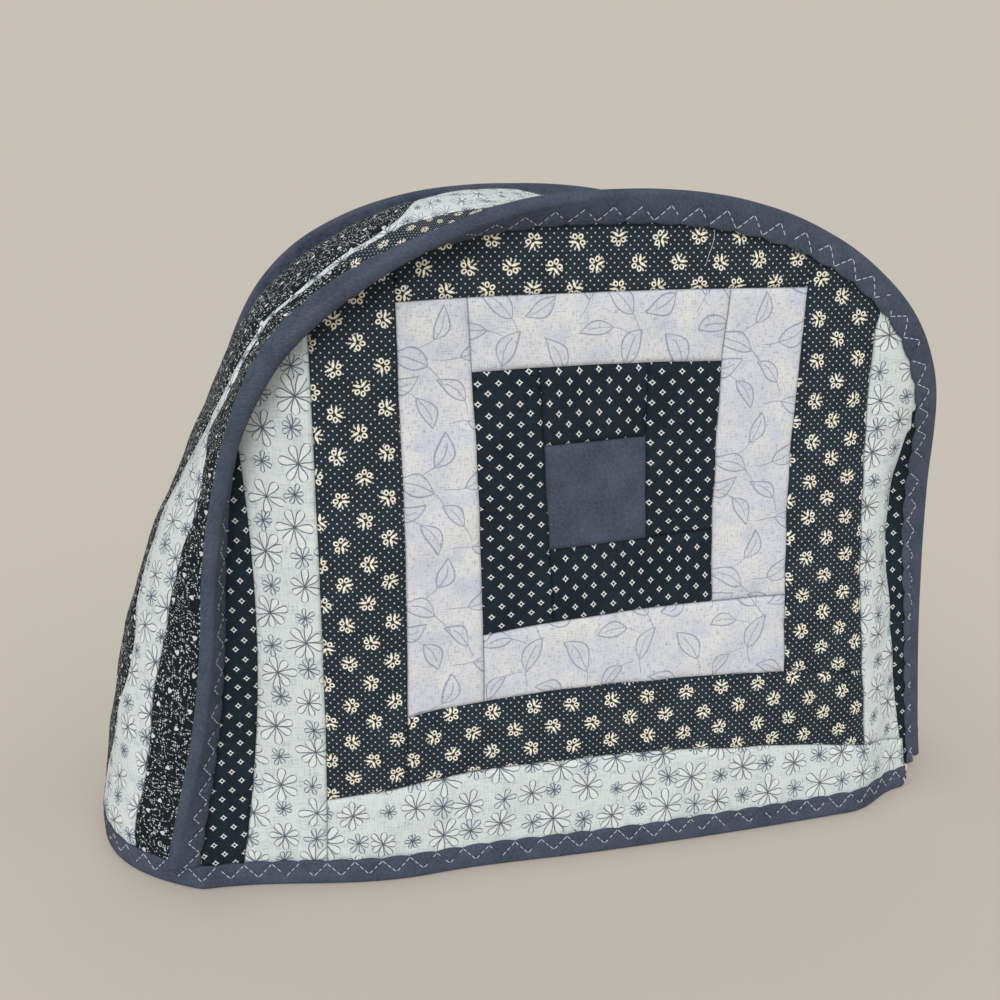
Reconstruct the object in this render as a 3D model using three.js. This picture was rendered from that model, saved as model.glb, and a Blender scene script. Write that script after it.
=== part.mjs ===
// A quilted toaster cover, standing open side down as it does on a table.
//
// A front panel and a back panel, both arched, are joined by one long gusset strip that runs
// from the hem at one side, over the top and down to the hem at the other side. The seams are
// sewn with their raw edges outwards, and each raw edge is wrapped in a folded tape, so that it
// stands off the cover as a flange. A third length of the same tape is folded round the hem.
//
// Millimetres, +X to the right, +Y to the back, +Z up. Heights are over the table. "across" is
// measured on a panel from the middle of its centre square, and "at" runs along a seam from 0 at
// the left end of the hem, over the top, to 1 at the right end.
import * as THREE from "three";

// ---- Driving sizes ------------------------------------------------------------------------
const PANELS_APART = 160;      // between the outer faces of the two panels
const SQUARE_HEIGHT = 144;     // height of the centre square's middle
const LEAN = 2;                // degrees that each panel leans towards the other
const CLOTH = 3.0;             // quilted cloth, face to face
const SEAM_CLOTH = 1.2;        // the same cloth pressed in a bound seam
const HEM_CLOTH = 2.0;         // the same cloth pressed in the hem
const PINCH = 1.5;             // the same cloth, through the bend beside a seam
const EASE = 16;               // distance in which the cloth swells from a seam to its full thickness
const TAPE = 0.8;              // folded binding tape
const GAP = 0.3;               // air between two pieces
const END_GAP = 0.6;           // air between the ends of a panel and of the gusset in the hem
const FLANGE = 12.7;           // width of a seam's binding, half an inch
const ALLOWANCE = 10.2;        // cloth inside a seam's binding
const TIP = { back: 0.7, in: 0.5 };   // how the corners of a binding's tip are cut off
const FACE_START = 1.2;        // a binding's edge beside the panel stops this far from the seam
const REAR_START = 2.6;        // and its edge beside the gusset this far
const HEM_BAND = 10;           // height of the hem's binding
const FOOT = TAPE + GAP;       // height of the cloth's lower edge inside the hem's binding
const HEM_CLEAR = 10.3;        // height of the last row of cloth below the seam flanges
const FLANGE_FOOT = 11;        // height at which the seam flanges start
const MIDDLE = new THREE.Vector3(-3.05, -2.24, 0);  // footprint's middle, from the square's middle

// ---- Tables: a row for each section, a smooth curve between the rows ----------------------
const table = (columns, rows) => ({ columns: columns.split(" "), rows });

// Half of a panel's sewn outline. Both halves are alike.
const OUTLINE = table("height halfWidth", [
  [FOOT, 152], [24, 148], [59, 142.5], [94, 138.5], [129, 135.5], [156, 131], [179, 124],
  [198, 113.5], [214, 97], [226, 75], [234, 48], [237.5, 18], [237.8, 0],
]);

// How the front panel's side edges are drawn back from its plane and in towards its middle, and
// how far from the middle that bend starts.
const FRONT_SIDES = table("height leftBack leftIn leftFrom rightBack rightIn rightFrom", [
  [0, 14, 3, 62, 11, 6, 112], [34, 15, 4, 66, 13, 4.5, 110], [84, 15, 5.5, 80, 14, 2, 104],
  [134, 14, 5.5, 88, 10, -2.5, 97], [179, 12, 4, 88, 6, -4, 95], [209, 8, 2, 88, 3, -6, 95],
  [239, 3, 0, 88, 1, -6, 95],
]);

// The back panel's side edges, and how far the whole panel is pushed to the right and down.
const BACK_SIDES = table(
  "height leftBack leftIn leftFrom rightBack rightIn rightFrom shift drop", [
    [0, 15, 4, 88, 14, 4, 95, 0, 0], [84, 15, 5, 88, 14, 5, 95, 5, 0],
    [144, 13, 5, 88, 12, 4, 95, 11, 1], [194, 9, 3, 88, 8, 2, 95, 14, 3],
    [239, 2, 0, 88, 2, 0, 95, 11, 3],
  ]);

// Soft troughs (depth above 0) and swellings in the front panel.
const FRONT_DENTS = table("across height halfWide halfTall turn depth", [
  [133, 124, 9, 34, 3, 12],      // deep valley beside the right seam
  [-60, 186, 22, 40, -30, 2.5],  // slack cloth under the left shoulder
  [-58, 118, 9, 60, 2, 1.6],     // upright crease in the pale ring
  [60, 60, 60, 60, 0, -2.5],     // belly at the lower right
  [-50, 20, 35, 50, 0, 2.5],     // and a hollow at the lower left
]);

// The back panel's own dents.
const BACK_DENTS = table("across height halfWide halfTall turn depth", [
  [-118, 90, 12, 50, 0, 6],
  [20, 120, 80, 60, 0, -3],
  [70, 200, 20, 40, 25, 3],
]);

// The front flange: its angle to the panel's plane, positive towards the front, how much further
// it is rolled over between its root and its tip, and how far from the seam the gusset turns out
// of it, where it is folded back so far that the two cloths can't turn at one place.
const FRONT_FLANGE = table("at lean curl slip", [
  [0, 22, 0, 0], [0.04, 34, 0, 0], [0.07, 46, 0, 0], [0.1, 55, 0, 0], [0.14, 61, 2, 0],
  [0.2, 66, 8, 0], [0.26, 77, 16, 0], [0.31, 87, 28, 0], [0.36, 86, 30, 0], [0.385, 80, 24, 0],
  [0.41, 72, 16, 0], [0.435, 62, 7, 0], [0.46, 52, -3, 0], [0.485, 44, -12, 0],
  [0.51, 37.5, -19, 0], [0.535, 32, -25, 0], [0.565, 26, -34, 0], [0.6, 19, -45, 0],
  [0.66, 15, -56, 0.6], [0.71, 9, -42, 1.4], [0.76, 2, -26, 1.9], [0.82, 2, -14, 1.9],
  [0.88, -17, -12, 1.9], [0.94, -24, -6, 1.9], [1, -32, 0, 1.9],
]);

const BACK_FLANGE = table("at lean curl slip", [
  [0, 20, 0, 0], [0.1, 14, 0, 0], [0.25, 5, 0, 0], [0.38, -4, 0, 0], [0.48, 4, 10, 0],
  [0.58, 18, 20, 0], [0.7, 14, 10, 0], [0.85, 12, 0, 0], [1, 20, 0, 0],
]);

// The gusset between the two seams: how far its middle stands out, how deep the long crease in
// it is, how far it is tucked in right beside the front seam, and how far it swells up beside
// the back seam.
const GUSSET = table("at bulge crease tuck swell", [
  [0, 37, 0, 0, 0], [0.06, 37, 0, 0, 0], [0.12, 35, 0, 0, 0], [0.18, 27, 0, 0, 0],
  [0.24, 14, 3, 0, 3], [0.3, 3, 10, 0, 9], [0.36, -2, 12, 0, 11], [0.42, 1, 6, 0, 11],
  [0.455, 4, 2, 0, 9.5], [0.48, 6, 0, 0, 6], [0.52, 5, 1, 0, 2], [0.56, 5, 2, 0, 0],
  [0.64, 3, 4, 0, 0], [0.72, 6, 2, 1, 0], [0.8, 14, 0, 4, 0], [0.87, 22, 0, 9, 0],
  [0.94, 30, 0, 13, 0], [1, 32, 0, 8, 0],
]);
const BULGE_POWER = 3.2;                        // over 2 gives full sides and a flat middle
const CREASE = { across: 0.36, half: 0.13 };    // shares of the gusset's width
const TUCK = { across: 0.09, half: 0.07 };
const SWELL = { across: 0.8, half: 0.2 };

// ---- Mesh spacing -------------------------------------------------------------------------
const SHOULDER = 0.315;                         // "at" of a panel's left shoulder
const SIDE_ROWS = 11;                           // rows from the flange's foot to a shoulder
const HALF_COLUMNS = [0, 0.03, 0.065, 0.11, 0.165, 0.225, 0.285, 0.345, 0.4, 0.45];
const COLUMNS = [...HALF_COLUMNS, 0.5, ...HALF_COLUMNS.map((x) => 1 - x).reverse()];
const GUSSET_COLUMNS = [0, 0.05, 0.1, 0.18, 0.3, 0.46, 0.69, 0.86, 1];
const FLATS = [0, 5, 8.9, FLANGE];              // a flange bends between these flats
const OUTLINE_STEPS = 1200;

// ---- Small helpers ------------------------------------------------------------------------
const vec = (x, y, z) => new THREE.Vector3(x, y, z);
const rad = THREE.MathUtils.degToRad;
const smooth = (from, to, x) => THREE.MathUtils.smoothstep(x, from, to);
const bell = (x) => Math.exp(-x * x);
const last = (list) => list[list.length - 1];

// The named columns of a table at a key: a cubic through each pair of rows, with the slope at a
// row taken from the rows beside it.
function read(source, key) {
  const { columns, rows } = source;
  const top = rows.length - 1;
  let i = 0;
  while (i < top - 1 && key >= rows[i + 1][0]) i += 1;
  const span = rows[i + 1][0] - rows[i][0];
  const t = THREE.MathUtils.clamp((key - rows[i][0]) / span, 0, 1);
  const rise = (n, c) => (rows[n + 1][c] - rows[n][c]) / (rows[n + 1][0] - rows[n][0]);
  const slope = (n, c) => {
    if (n === 0) return rise(0, c);
    if (n === top) return rise(top - 1, c);
    const before = rows[n][0] - rows[n - 1][0];
    const after = rows[n + 1][0] - rows[n][0];
    return (rise(n - 1, c) * after + rise(n, c) * before) / (before + after);
  };
  const out = {};
  columns.forEach((name, c) => {
    const a = rows[i][c];
    const b = rows[i + 1][c];
    const from = slope(i, c) * span;
    const to = slope(i + 1, c) * span;
    out[name] = a + t * (from + t * (3 * (b - a) - 2 * from - to + t * (2 * (a - b) + from + to)));
  });
  return out;
}

// ---- A panel's flat outline, as a curve with even speed -----------------------------------
// Walked by the outline's rows, so that the flat top keeps as many steps as the sides.
const outline = (() => {
  const { rows } = OUTLINE;
  const chord = [0];
  for (let i = 1; i < rows.length; i += 1) {
    chord.push(chord[i - 1] + Math.hypot(rows[i][0] - rows[i - 1][0], rows[i][1] - rows[i - 1][1]));
  }
  const crown = last(chord);
  const left = rows.map(([height, halfWidth], i) => [chord[i], -halfWidth, height]);
  const right = rows.map(([height, halfWidth], i) => [2 * crown - chord[i], halfWidth, height]);
  const walk = table("way across height", [...left, ...right.reverse().slice(1)]);
  const points = [];
  for (let i = 0; i <= OUTLINE_STEPS; i += 1) {
    points.push(read(walk, (2 * crown * i) / OUTLINE_STEPS));
  }
  const length = [0];
  for (let i = 1; i < points.length; i += 1) {
    const step = Math.hypot(points[i].across - points[i - 1].across,
      points[i].height - points[i - 1].height);
    length.push(length[i - 1] + step);
  }
  return { points, length };
})();

function outlinePoint(at) {
  const goal = THREE.MathUtils.clamp(at, 0, 1) * last(outline.length);
  let low = 0;
  let high = OUTLINE_STEPS;
  while (high - low > 1) {
    const middle = (low + high) >> 1;
    if (outline.length[middle] <= goal) low = middle;
    else high = middle;
  }
  const t = (goal - outline.length[low]) / (outline.length[high] - outline.length[low]);
  const a = outline.points[low];
  const b = outline.points[high];
  return { across: a.across + t * (b.across - a.across), height: a.height + t * (b.height - a.height) };
}

// "at" of a height on the left half of the outline.
function atHeight(height) {
  const i = outline.points.findIndex((point) => point.height >= height);
  const a = outline.points[i - 1];
  const b = outline.points[i];
  const t = (height - a.height) / (b.height - a.height);
  return (outline.length[i - 1] + t * (outline.length[i] - outline.length[i - 1])) / last(outline.length);
}

// ---- The two panels' outer faces ----------------------------------------------------------
function dents(list, across, height) {
  let depth = 0;
  for (const row of list.rows) {
    const [x0, z0, halfWide, halfTall, turn, deep] = row;
    const c = Math.cos(rad(turn));
    const s = Math.sin(rad(turn));
    const x = ((across - x0) * c + (height - z0) * s) / halfWide;
    const z = ((height - z0) * c - (across - x0) * s) / halfTall;
    depth += deep * bell(Math.hypot(x, z));
  }
  return depth;
}

// back: from the face's plane towards the inside of the cover.
function face(sides, dentList, towards) {
  return (across, height) => {
    const side = read(sides, height);
    const left = smooth(side.leftFrom, 152, -across);
    const right = smooth(side.rightFrom, 150, across);
    const back = (height - SQUARE_HEIGHT) * Math.tan(rad(LEAN)) + side.leftBack * left
      + side.rightBack * right + dents(dentList, across, height);
    const x = across + side.leftIn * left - side.rightIn * right + (side.shift || 0);
    return vec(x, towards * (PANELS_APART / 2 - back), height - (side.drop || 0)).sub(MIDDLE);
  };
}
const FRONT = { point: face(FRONT_SIDES, FRONT_DENTS, -1), away: -1, flange: FRONT_FLANGE };
const BACK = { point: face(BACK_SIDES, BACK_DENTS, 1), away: 1, flange: BACK_FLANGE };

// ---- Seams and flanges --------------------------------------------------------------------
// A seam's own directions: along it, out of the panel's edge, and away from the cover.
function seamFrame(side, at) {
  const step = 1e-3;
  const point = (t) => {
    const { across, height } = outlinePoint(t);
    return side.point(across, height);
  };
  const along = point(Math.min(at + step, 1)).sub(point(Math.max(at - step, 0))).normalize();
  const away = vec(0, side.away, 0);
  away.addScaledVector(along, -away.dot(along)).normalize();
  const out = away.clone().cross(along);
  if (side.away > 0) out.negate();
  return { root: point(at), along, away, out };
}

// A place in a flange: p from its root to its tip, q from the panel's outer face towards the
// gusset. The flange bends between flats, and its layers are mitred there.
function flangePoint(side, at, p, q) {
  const { root, away, out } = seamFrame(side, at);
  const { lean, curl } = read(side.flange, at);
  const flats = FLATS.length - 1;
  const angle = (n) => rad(lean + (curl * (n + 0.5)) / flats);
  const place = root.clone();
  let n = 0;
  while (true) {
    const run = Math.min(p, FLATS[n + 1]) - FLATS[n];
    place.addScaledVector(out, run * Math.cos(angle(n)));
    place.addScaledVector(away, run * Math.sin(angle(n)));
    if (p <= FLATS[n + 1] || n === flats - 1) break;
    n += 1;
  }
  const bend = p === FLATS[n + 1] && n < flats - 1 ? (angle(n + 1) - angle(n)) / 2 : 0;
  const turn = angle(n) + bend;
  const reach = q / Math.cos(bend);
  place.addScaledVector(out, reach * Math.sin(turn));
  place.addScaledVector(away, -reach * Math.cos(turn));
  return place;
}

// ---- Stations along the seams --------------------------------------------------------------
const footAt = atHeight(FLANGE_FOOT);
const sideStations = [0, atHeight(HEM_CLEAR)];
for (let i = 0; i <= SIDE_ROWS; i += 1) {
  sideStations.push(footAt + ((SHOULDER - footAt) * i) / SIDE_ROWS);
}
const topStations = COLUMNS.slice(1, -1).map((x) => SHOULDER + (1 - 2 * SHOULDER) * x);
const STATIONS = [...sideStations, ...topStations, ...sideStations.map((at) => 1 - at).reverse()];
const FIRST = 2;                                  // first and last station that has a flange
const LAST = STATIONS.length - 1 - FIRST;
const hasFlange = (k) => k >= FIRST && k <= LAST;

// ---- The gusset's outer face ---------------------------------------------------------------
// Straight from seam to seam, then moved out by its bulge and its swell and in by its crease and
// its tuck.
// Down at the hem it moves level, so that the hem stays in one plane.
function gussetPoint(at, width, from, to) {
  const { out } = seamFrame(FRONT, at);
  const shape = read(GUSSET, at);
  const full = 1 - Math.abs(2 * width - 1) ** BULGE_POWER;
  const crease = shape.crease * bell((width - CREASE.across) / CREASE.half);
  const tuck = shape.tuck * bell((width - TUCK.across) / TUCK.half);
  const swell = shape.swell * bell((width - SWELL.across) / SWELL.half);
  out.z *= smooth(0, 0.1, Math.min(at, 1 - at));
  out.normalize();
  const move = full * (shape.bulge - crease + swell) - tuck * full ** 0.25;
  return from.clone().lerp(to, width).addScaledVector(out, move);
}

// ---- Closed solids --------------------------------------------------------------------------
// A quad is split from its first corner to its third.
function solid(name, points, faces, color) {
  const geometry = new THREE.BufferGeometry();
  const flat = points.flatMap((point) => [point.x, point.y, point.z]);
  const triangles = faces.flatMap(([a, b, c, d]) => (d === undefined ? [a, b, c] : [a, b, c, a, c, d]));
  geometry.setAttribute("position", new THREE.Float32BufferAttribute(flat, 3));
  geometry.setIndex(triangles);
  geometry.computeVertexNormals();
  const material = new THREE.MeshStandardMaterial({ color, roughness: 0.9, metalness: 0 });
  const mesh = new THREE.Mesh(geometry, material);
  mesh.name = name;
  return mesh;
}

// Cloth under construction: each point has its outer place, and either its inner place or the
// thickness below it.
class Cloth {
  constructor() {
    this.outer = [];
    this.inner = [];
    this.thickness = [];
    this.quads = [];
  }

  add(outer, inner, thickness) {
    this.outer.push(outer);
    this.inner.push(inner);
    this.thickness.push(thickness);
    return this.outer.length - 1;
  }

  // The outer face's quads, a turned copy of each on the inner face, and a wall on free edges.
  solid(name, color) {
    const normals = this.outer.map(() => vec(0, 0, 0));
    for (const quad of this.quads) {
      const [a, b, c, d] = quad.map((i) => this.outer[i]);
      const normal = c.clone().sub(a).cross(d.clone().sub(b));
      quad.forEach((i) => normals[i].add(normal));
    }
    const inner = this.outer.map((place, i) => this.inner[i]
      || place.clone().addScaledVector(normals[i].normalize(), -this.thickness[i]));
    const below = (i) => i + this.outer.length;
    const faces = [];
    const free = new Map();
    for (const quad of this.quads) {
      faces.push(quad, [quad[0], quad[3], quad[2], quad[1]].map(below));
      quad.forEach((from, i) => {
        const to = quad[(i + 1) % 4];
        if (!free.delete(`${to} ${from}`)) free.set(`${from} ${to}`, [from, to]);
      });
    }
    for (const [from, to] of free.values()) faces.push([from, below(from), below(to), to]);
    return solid(name, [...this.outer, ...inner], faces, color);
  }
}

// A strip carried along a list of sections. A ring closes on itself; an open strip has end caps
// made of the triangles in "cap". A quad's split always runs the same way across a flange, so
// that the layers in it keep their gap: rising[i] says that edge i of the section runs outwards.
function sweep(name, sections, rising, cap, color) {
  const count = sections[0].length;
  const faces = [];
  const steps = cap ? sections.length - 1 : sections.length;
  for (let k = 0; k < steps; k += 1) {
    const here = k * count;
    const next = ((k + 1) % sections.length) * count;
    for (let i = 0; i < count; i += 1) {
      const j = (i + 1) % count;
      const quad = [here + i, next + i, next + j, here + j];
      faces.push(rising[i] ? quad : [...quad.slice(1), quad[0]]);
    }
  }
  if (cap) {
    const end = (sections.length - 1) * count;
    for (const [a, b, c] of cap) faces.push([a, b, c], [c + end, b + end, a + end]);
  }
  return solid(name, sections.flat(), faces, color);
}

// ---- A panel's grid and where its edges meet the gusset --------------------------------------
// Flat places in the grid: the foot, the two sides up to the shoulders and the top between the
// shoulders are its four edges, and the inside is blended from all four.
function gridPlace(row, x) {
  const sideAt = sideStations[row];
  const y = sideAt / SHOULDER;
  const edges = {
    left: outlinePoint(sideAt),
    right: outlinePoint(1 - sideAt),
    top: outlinePoint(SHOULDER + (1 - 2 * SHOULDER) * x),
    foot: outlinePoint(0),
    shoulder: outlinePoint(SHOULDER),
  };
  const blend = (key, across) => (1 - x) * edges.left[key] + x * edges.right[key]
    + y * (edges.top[key] - edges.shoulder[key] * across);
  return { across: blend("across", 1 - 2 * x), height: blend("height", 1) };
}

function panelPoint(side, row, x) {
  const { across, height } = gridPlace(row, x);
  return side.point(across, height);
}

// ---- The hem's two rows, all the way round ----------------------------------------------------
// The front panel's columns, the right end of the gusset, the back panel's columns from right to
// left and the left end of the gusset. One row is the cloth's lower edge, the other is just over
// the hem's binding.
const PANEL_COUNT = COLUMNS.length;
const GUSSET_LAST = GUSSET_COLUMNS.length - 1;
const HEM_COUNT = 2 * (PANEL_COUNT + GUSSET_LAST - 1);

// The hem stands upright, in the shape that the cloth has just over it.
const hemPlaces = (() => {
  const row = 1;
  const end = (at, x) => GUSSET_COLUMNS.slice(1, -1)
    .map((w) => gussetPoint(at, w, panelPoint(FRONT, row, x), panelPoint(BACK, row, x)));
  return [
    ...COLUMNS.map((x) => panelPoint(FRONT, row, x)),
    ...end(1 - sideStations[row], 1),
    ...COLUMNS.map((x) => panelPoint(BACK, row, 1 - x)),
    ...end(sideStations[row], 0).reverse(),
  ].map((place) => place.setZ(0));
})();

// Level and out of the cover, long enough to keep a layer's thickness where the hem turns.
const hemOutwards = hemPlaces.map((place, i) => {
  const ahead = hemPlaces[(i + 1) % HEM_COUNT].clone().sub(place).normalize();
  const behind = place.clone().sub(hemPlaces[(i + HEM_COUNT - 1) % HEM_COUNT]).normalize();
  const along = ahead.clone().add(behind).normalize();
  return vec(along.y, -along.x, 0).divideScalar(along.dot(ahead));
});

// The cloth's two faces in the hem. A piece that ends here stops short, towards its next place.
function hemCloth(row, i, next = i) {
  const short = hemPlaces[next].clone().sub(hemPlaces[i]).normalize().multiplyScalar(END_GAP);
  const outer = hemPlaces[i].clone().add(short).setZ([FOOT, HEM_CLEAR][row]);
  return { outer, inner: outer.clone().addScaledVector(hemOutwards[i], -HEM_CLOTH) };
}

// ---- The pieces -------------------------------------------------------------------------------
const PANEL_IN = SEAM_CLOTH;                      // q of the panel's inner face in a flange
const GUSSET_IN = PANEL_IN + GAP;
const GUSSET_OUT = GUSSET_IN + SEAM_CLOTH;
const ALLOWANCE_ROWS = [FLATS[1], FLATS[2], ALLOWANCE];
const TOP_ROW = sideStations.length - 1;
const swell = (fromSeam) => SEAM_CLOTH + (CLOTH - SEAM_CLOTH) * smooth(0, EASE, fromSeam);

// A cloth's two faces where it bends at the root of a flange: its outer face turns at (p, q), and
// its inner face across the middle of the bend from there, but no further than a pinch. "beside"
// is the next place on the outer face, which lies towards the panel (-1) or the gusset (1).
function seamBend(side, at, p, q, beside, towards) {
  const outer = flangePoint(side, at, p, q);
  const way = beside.clone().sub(outer);
  const along = way.dot(flangePoint(side, at, p + 1, q).sub(outer));
  const off = way.dot(flangePoint(side, at, p, q + towards).sub(outer));
  const half = (Math.atan2(off, along) + (off < 0 ? 2 * Math.PI : 0)) / 2;
  const reach = Math.min(SEAM_CLOTH / Math.sin(half), PINCH);
  const inner = flangePoint(side, at, p - reach * Math.cos(half), q - towards * reach * Math.sin(half));
  return { outer, inner };
}

const slipOf = (side, at) => read(side.flange, at).slip;
const gussetRoot = (side, at) => flangePoint(side, at, slipOf(side, at), GUSSET_OUT);

// A panel, with the allowance that lies in its flange.
function panel(name, side, color) {
  const cloth = new Cloth();
  const seam = (k, p) => cloth.add(
    flangePoint(side, STATIONS[k], p, 0), flangePoint(side, STATIONS[k], p, PANEL_IN));
  const root = (k, across, height) => {
    const { outer, inner } = seamBend(side, STATIONS[k], 0, 0, side.point(across, height), -1);
    return cloth.add(outer, inner);
  };
  const edge = {};
  const vertex = (row, c) => {
    if (row < FIRST) {
      const { outer, inner } = hemCloth(row, side === FRONT ? c : HEM_COUNT - GUSSET_LAST - c);
      return cloth.add(outer, inner);
    }
    const stations = { 0: row, [PANEL_COUNT - 1]: STATIONS.length - 1 - row };
    const k = row === TOP_ROW ? TOP_ROW + c : stations[c];
    if (k !== undefined) {
      const inside = gridPlace(Math.min(row, TOP_ROW - 1),
        COLUMNS[Math.min(Math.max(c, 1), PANEL_COUNT - 2)]);
      edge[k] = root(k, inside.across, inside.height);
      return edge[k];
    }
    const { across, height } = gridPlace(row, COLUMNS[c]);
    const fromSide = -outlinePoint(sideStations[row]).across - Math.abs(across);
    const fromTop = gridPlace(TOP_ROW, COLUMNS[c]).height - height;
    return cloth.add(side.point(across, height), null, swell(Math.min(fromSide, fromTop)));
  };
  const grid = sideStations.map((_, row) => COLUMNS.map((__, c) => vertex(row, c)));
  const push = (a, b, c, d) => cloth.quads.push(side === FRONT ? [a, b, c, d] : [a, d, c, b]);
  for (let row = 0; row < TOP_ROW; row += 1) {
    for (let c = 0; c < PANEL_COUNT - 1; c += 1) {
      push(grid[row][c], grid[row][c + 1], grid[row + 1][c + 1], grid[row + 1][c]);
    }
  }
  let here = null;
  for (let k = FIRST; k <= LAST; k += 1) {
    const next = [edge[k], ...ALLOWANCE_ROWS.map((p) => seam(k, p))];
    for (let i = 0; here && i < ALLOWANCE_ROWS.length; i += 1) {
      push(here[i], next[i], next[i + 1], here[i + 1]);
    }
    here = next;
  }
  return cloth.solid(name, color);
}

// The gusset, with an allowance along both edges.
function gusset(name, color) {
  const cloth = new Cloth();
  const seam = (side, k, p) => cloth.add(
    flangePoint(side, STATIONS[k], p, GUSSET_OUT), flangePoint(side, STATIONS[k], p, GUSSET_IN));
  const hem = (k, c) => {
    const left = k < FIRST;
    const place = (column) => (left ? (HEM_COUNT - column) % HEM_COUNT : PANEL_COUNT - 1 + column);
    const beside = Math.min(Math.max(c, 1), GUSSET_LAST - 1);
    const { outer, inner } = hemCloth(left ? k : STATIONS.length - 1 - k, place(c), place(beside));
    return cloth.add(outer, inner);
  };
  const none = ALLOWANCE_ROWS.map(() => -1);
  const grid = STATIONS.map((at, k) => {
    if (!hasFlange(k)) return [...none, ...GUSSET_COLUMNS.map((_, c) => hem(k, c)), ...none];
    const from = gussetRoot(FRONT, at);
    const to = gussetRoot(BACK, at);
    const width = from.distanceTo(to);
    const places = GUSSET_COLUMNS.map((w) => gussetPoint(at, w, from, to));
    const root = (side, beside) => {
      const { outer, inner } = seamBend(side, at, slipOf(side, at), GUSSET_OUT, beside, 1);
      return cloth.add(outer, inner);
    };
    return [
      ...ALLOWANCE_ROWS.map((p) => seam(FRONT, k, p)).reverse(),
      root(FRONT, places[1]),
      ...places.slice(1, -1).map((place, i) => {
        const w = GUSSET_COLUMNS[i + 1];
        return cloth.add(place, null, swell(Math.min(w, 1 - w) * width));
      }),
      root(BACK, places[GUSSET_LAST - 1]),
      ...ALLOWANCE_ROWS.map((p) => seam(BACK, k, p)),
    ];
  });
  for (let k = 0; k < STATIONS.length - 1; k += 1) {
    for (let c = 0; c < grid[k].length - 1; c += 1) {
      const quad = [grid[k][c], grid[k + 1][c], grid[k + 1][c + 1], grid[k][c + 1]];
      const inwards = c < ALLOWANCE_ROWS.length;
      if (quad.every((i) => i >= 0)) cloth.quads.push(inwards ? [...quad.slice(1), quad[0]] : quad);
    }
  }
  return cloth.solid(name, color);
}

// A seam's binding: a folded tape, open towards the seam, round both allowances. Its section is
// listed as (p, q), up the panel's side, round the tip and down the gusset's side, then inside,
// up beside the gusset's allowance and down beside the panel's.
const FACE_Q = -(GAP + TAPE);
const REAR_Q = GUSSET_OUT + GAP + TAPE;
const bindingSection = (slip) => [
  [FACE_START, FACE_Q], [FLATS[1], FACE_Q], [FLATS[2], FACE_Q], [FLANGE - TIP.back, FACE_Q + TIP.in],
  [FLANGE, (FACE_Q + REAR_Q) / 2], [FLANGE - TIP.back, REAR_Q - TIP.in],
  [FLATS[2], REAR_Q], [FLATS[1], REAR_Q], [REAR_START + slip, REAR_Q],
  [REAR_START + slip, REAR_Q - TAPE], [FLATS[1], REAR_Q - TAPE], [FLATS[2], REAR_Q - TAPE],
  [ALLOWANCE + GAP, REAR_Q - TAPE], [ALLOWANCE + GAP, FACE_Q + TAPE],
  [FLATS[2], FACE_Q + TAPE], [FLATS[1], FACE_Q + TAPE], [FACE_START, FACE_Q + TAPE],
];

function seamBinding(name, side, color) {
  const turned = (list) => (side === FRONT ? list : [...list].reverse());
  const contour = turned(bindingSection(0));
  const rising = contour.map(([p], i) => contour[(i + 1) % contour.length][0] > p);
  const sections = STATIONS.slice(FIRST, LAST + 1)
    .map((at) => turned(bindingSection(slipOf(side, at))).map(([p, q]) => flangePoint(side, at, p, q)));
  const cap = THREE.ShapeUtils.triangulateShape(contour.map(([p, q]) => new THREE.Vector2(p, q)), []);
  return sweep(name, sections, rising, side === FRONT ? cap : cap.map((t) => t.reverse()), color);
}

// The hem's binding: the same tape folded up round the foot of the panels and the gusset. Its
// section is four corners up the outside and four down the inside, flat underneath.
function hemBinding(name, color) {
  const sections = hemPlaces.map((place, i) => {
    const put = (off, height) => place.clone().addScaledVector(hemOutwards[i], off).setZ(height);
    const outside = GAP + TAPE;
    const inside = -(HEM_CLOTH + GAP);
    return [
      put(outside, 0), put(outside, HEM_BAND), put(GAP, HEM_BAND), put(GAP, TAPE),
      put(inside, TAPE), put(inside, HEM_BAND), put(inside - TAPE, HEM_BAND), put(inside - TAPE, 0),
    ];
  });
  return sweep(name, sections, sections[0].map(() => true), null, color);
}

// ---- The cover ----------------------------------------------------------------------------
const NAVY_PRINT = 0x232b3b;
const PALE_PRINT = 0xc4cad4;
const SLATE_TAPE = 0x4b4f66;

const cover = new THREE.Group();
cover.add(
  panel("front_panel", FRONT, PALE_PRINT),
  panel("back_panel", BACK, PALE_PRINT),
  gusset("gusset", NAVY_PRINT),
  seamBinding("front_seam_binding", FRONT, SLATE_TAPE),
  seamBinding("back_seam_binding", BACK, SLATE_TAPE),
  hemBinding("hem_binding", SLATE_TAPE),
);

export default cover;
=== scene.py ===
"""A quilted patchwork toaster cover, standing open side down on a plain floor."""

import math
from functools import partial
from types import SimpleNamespace

import bpy
import numpy as np
from mathutils import Matrix


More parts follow.
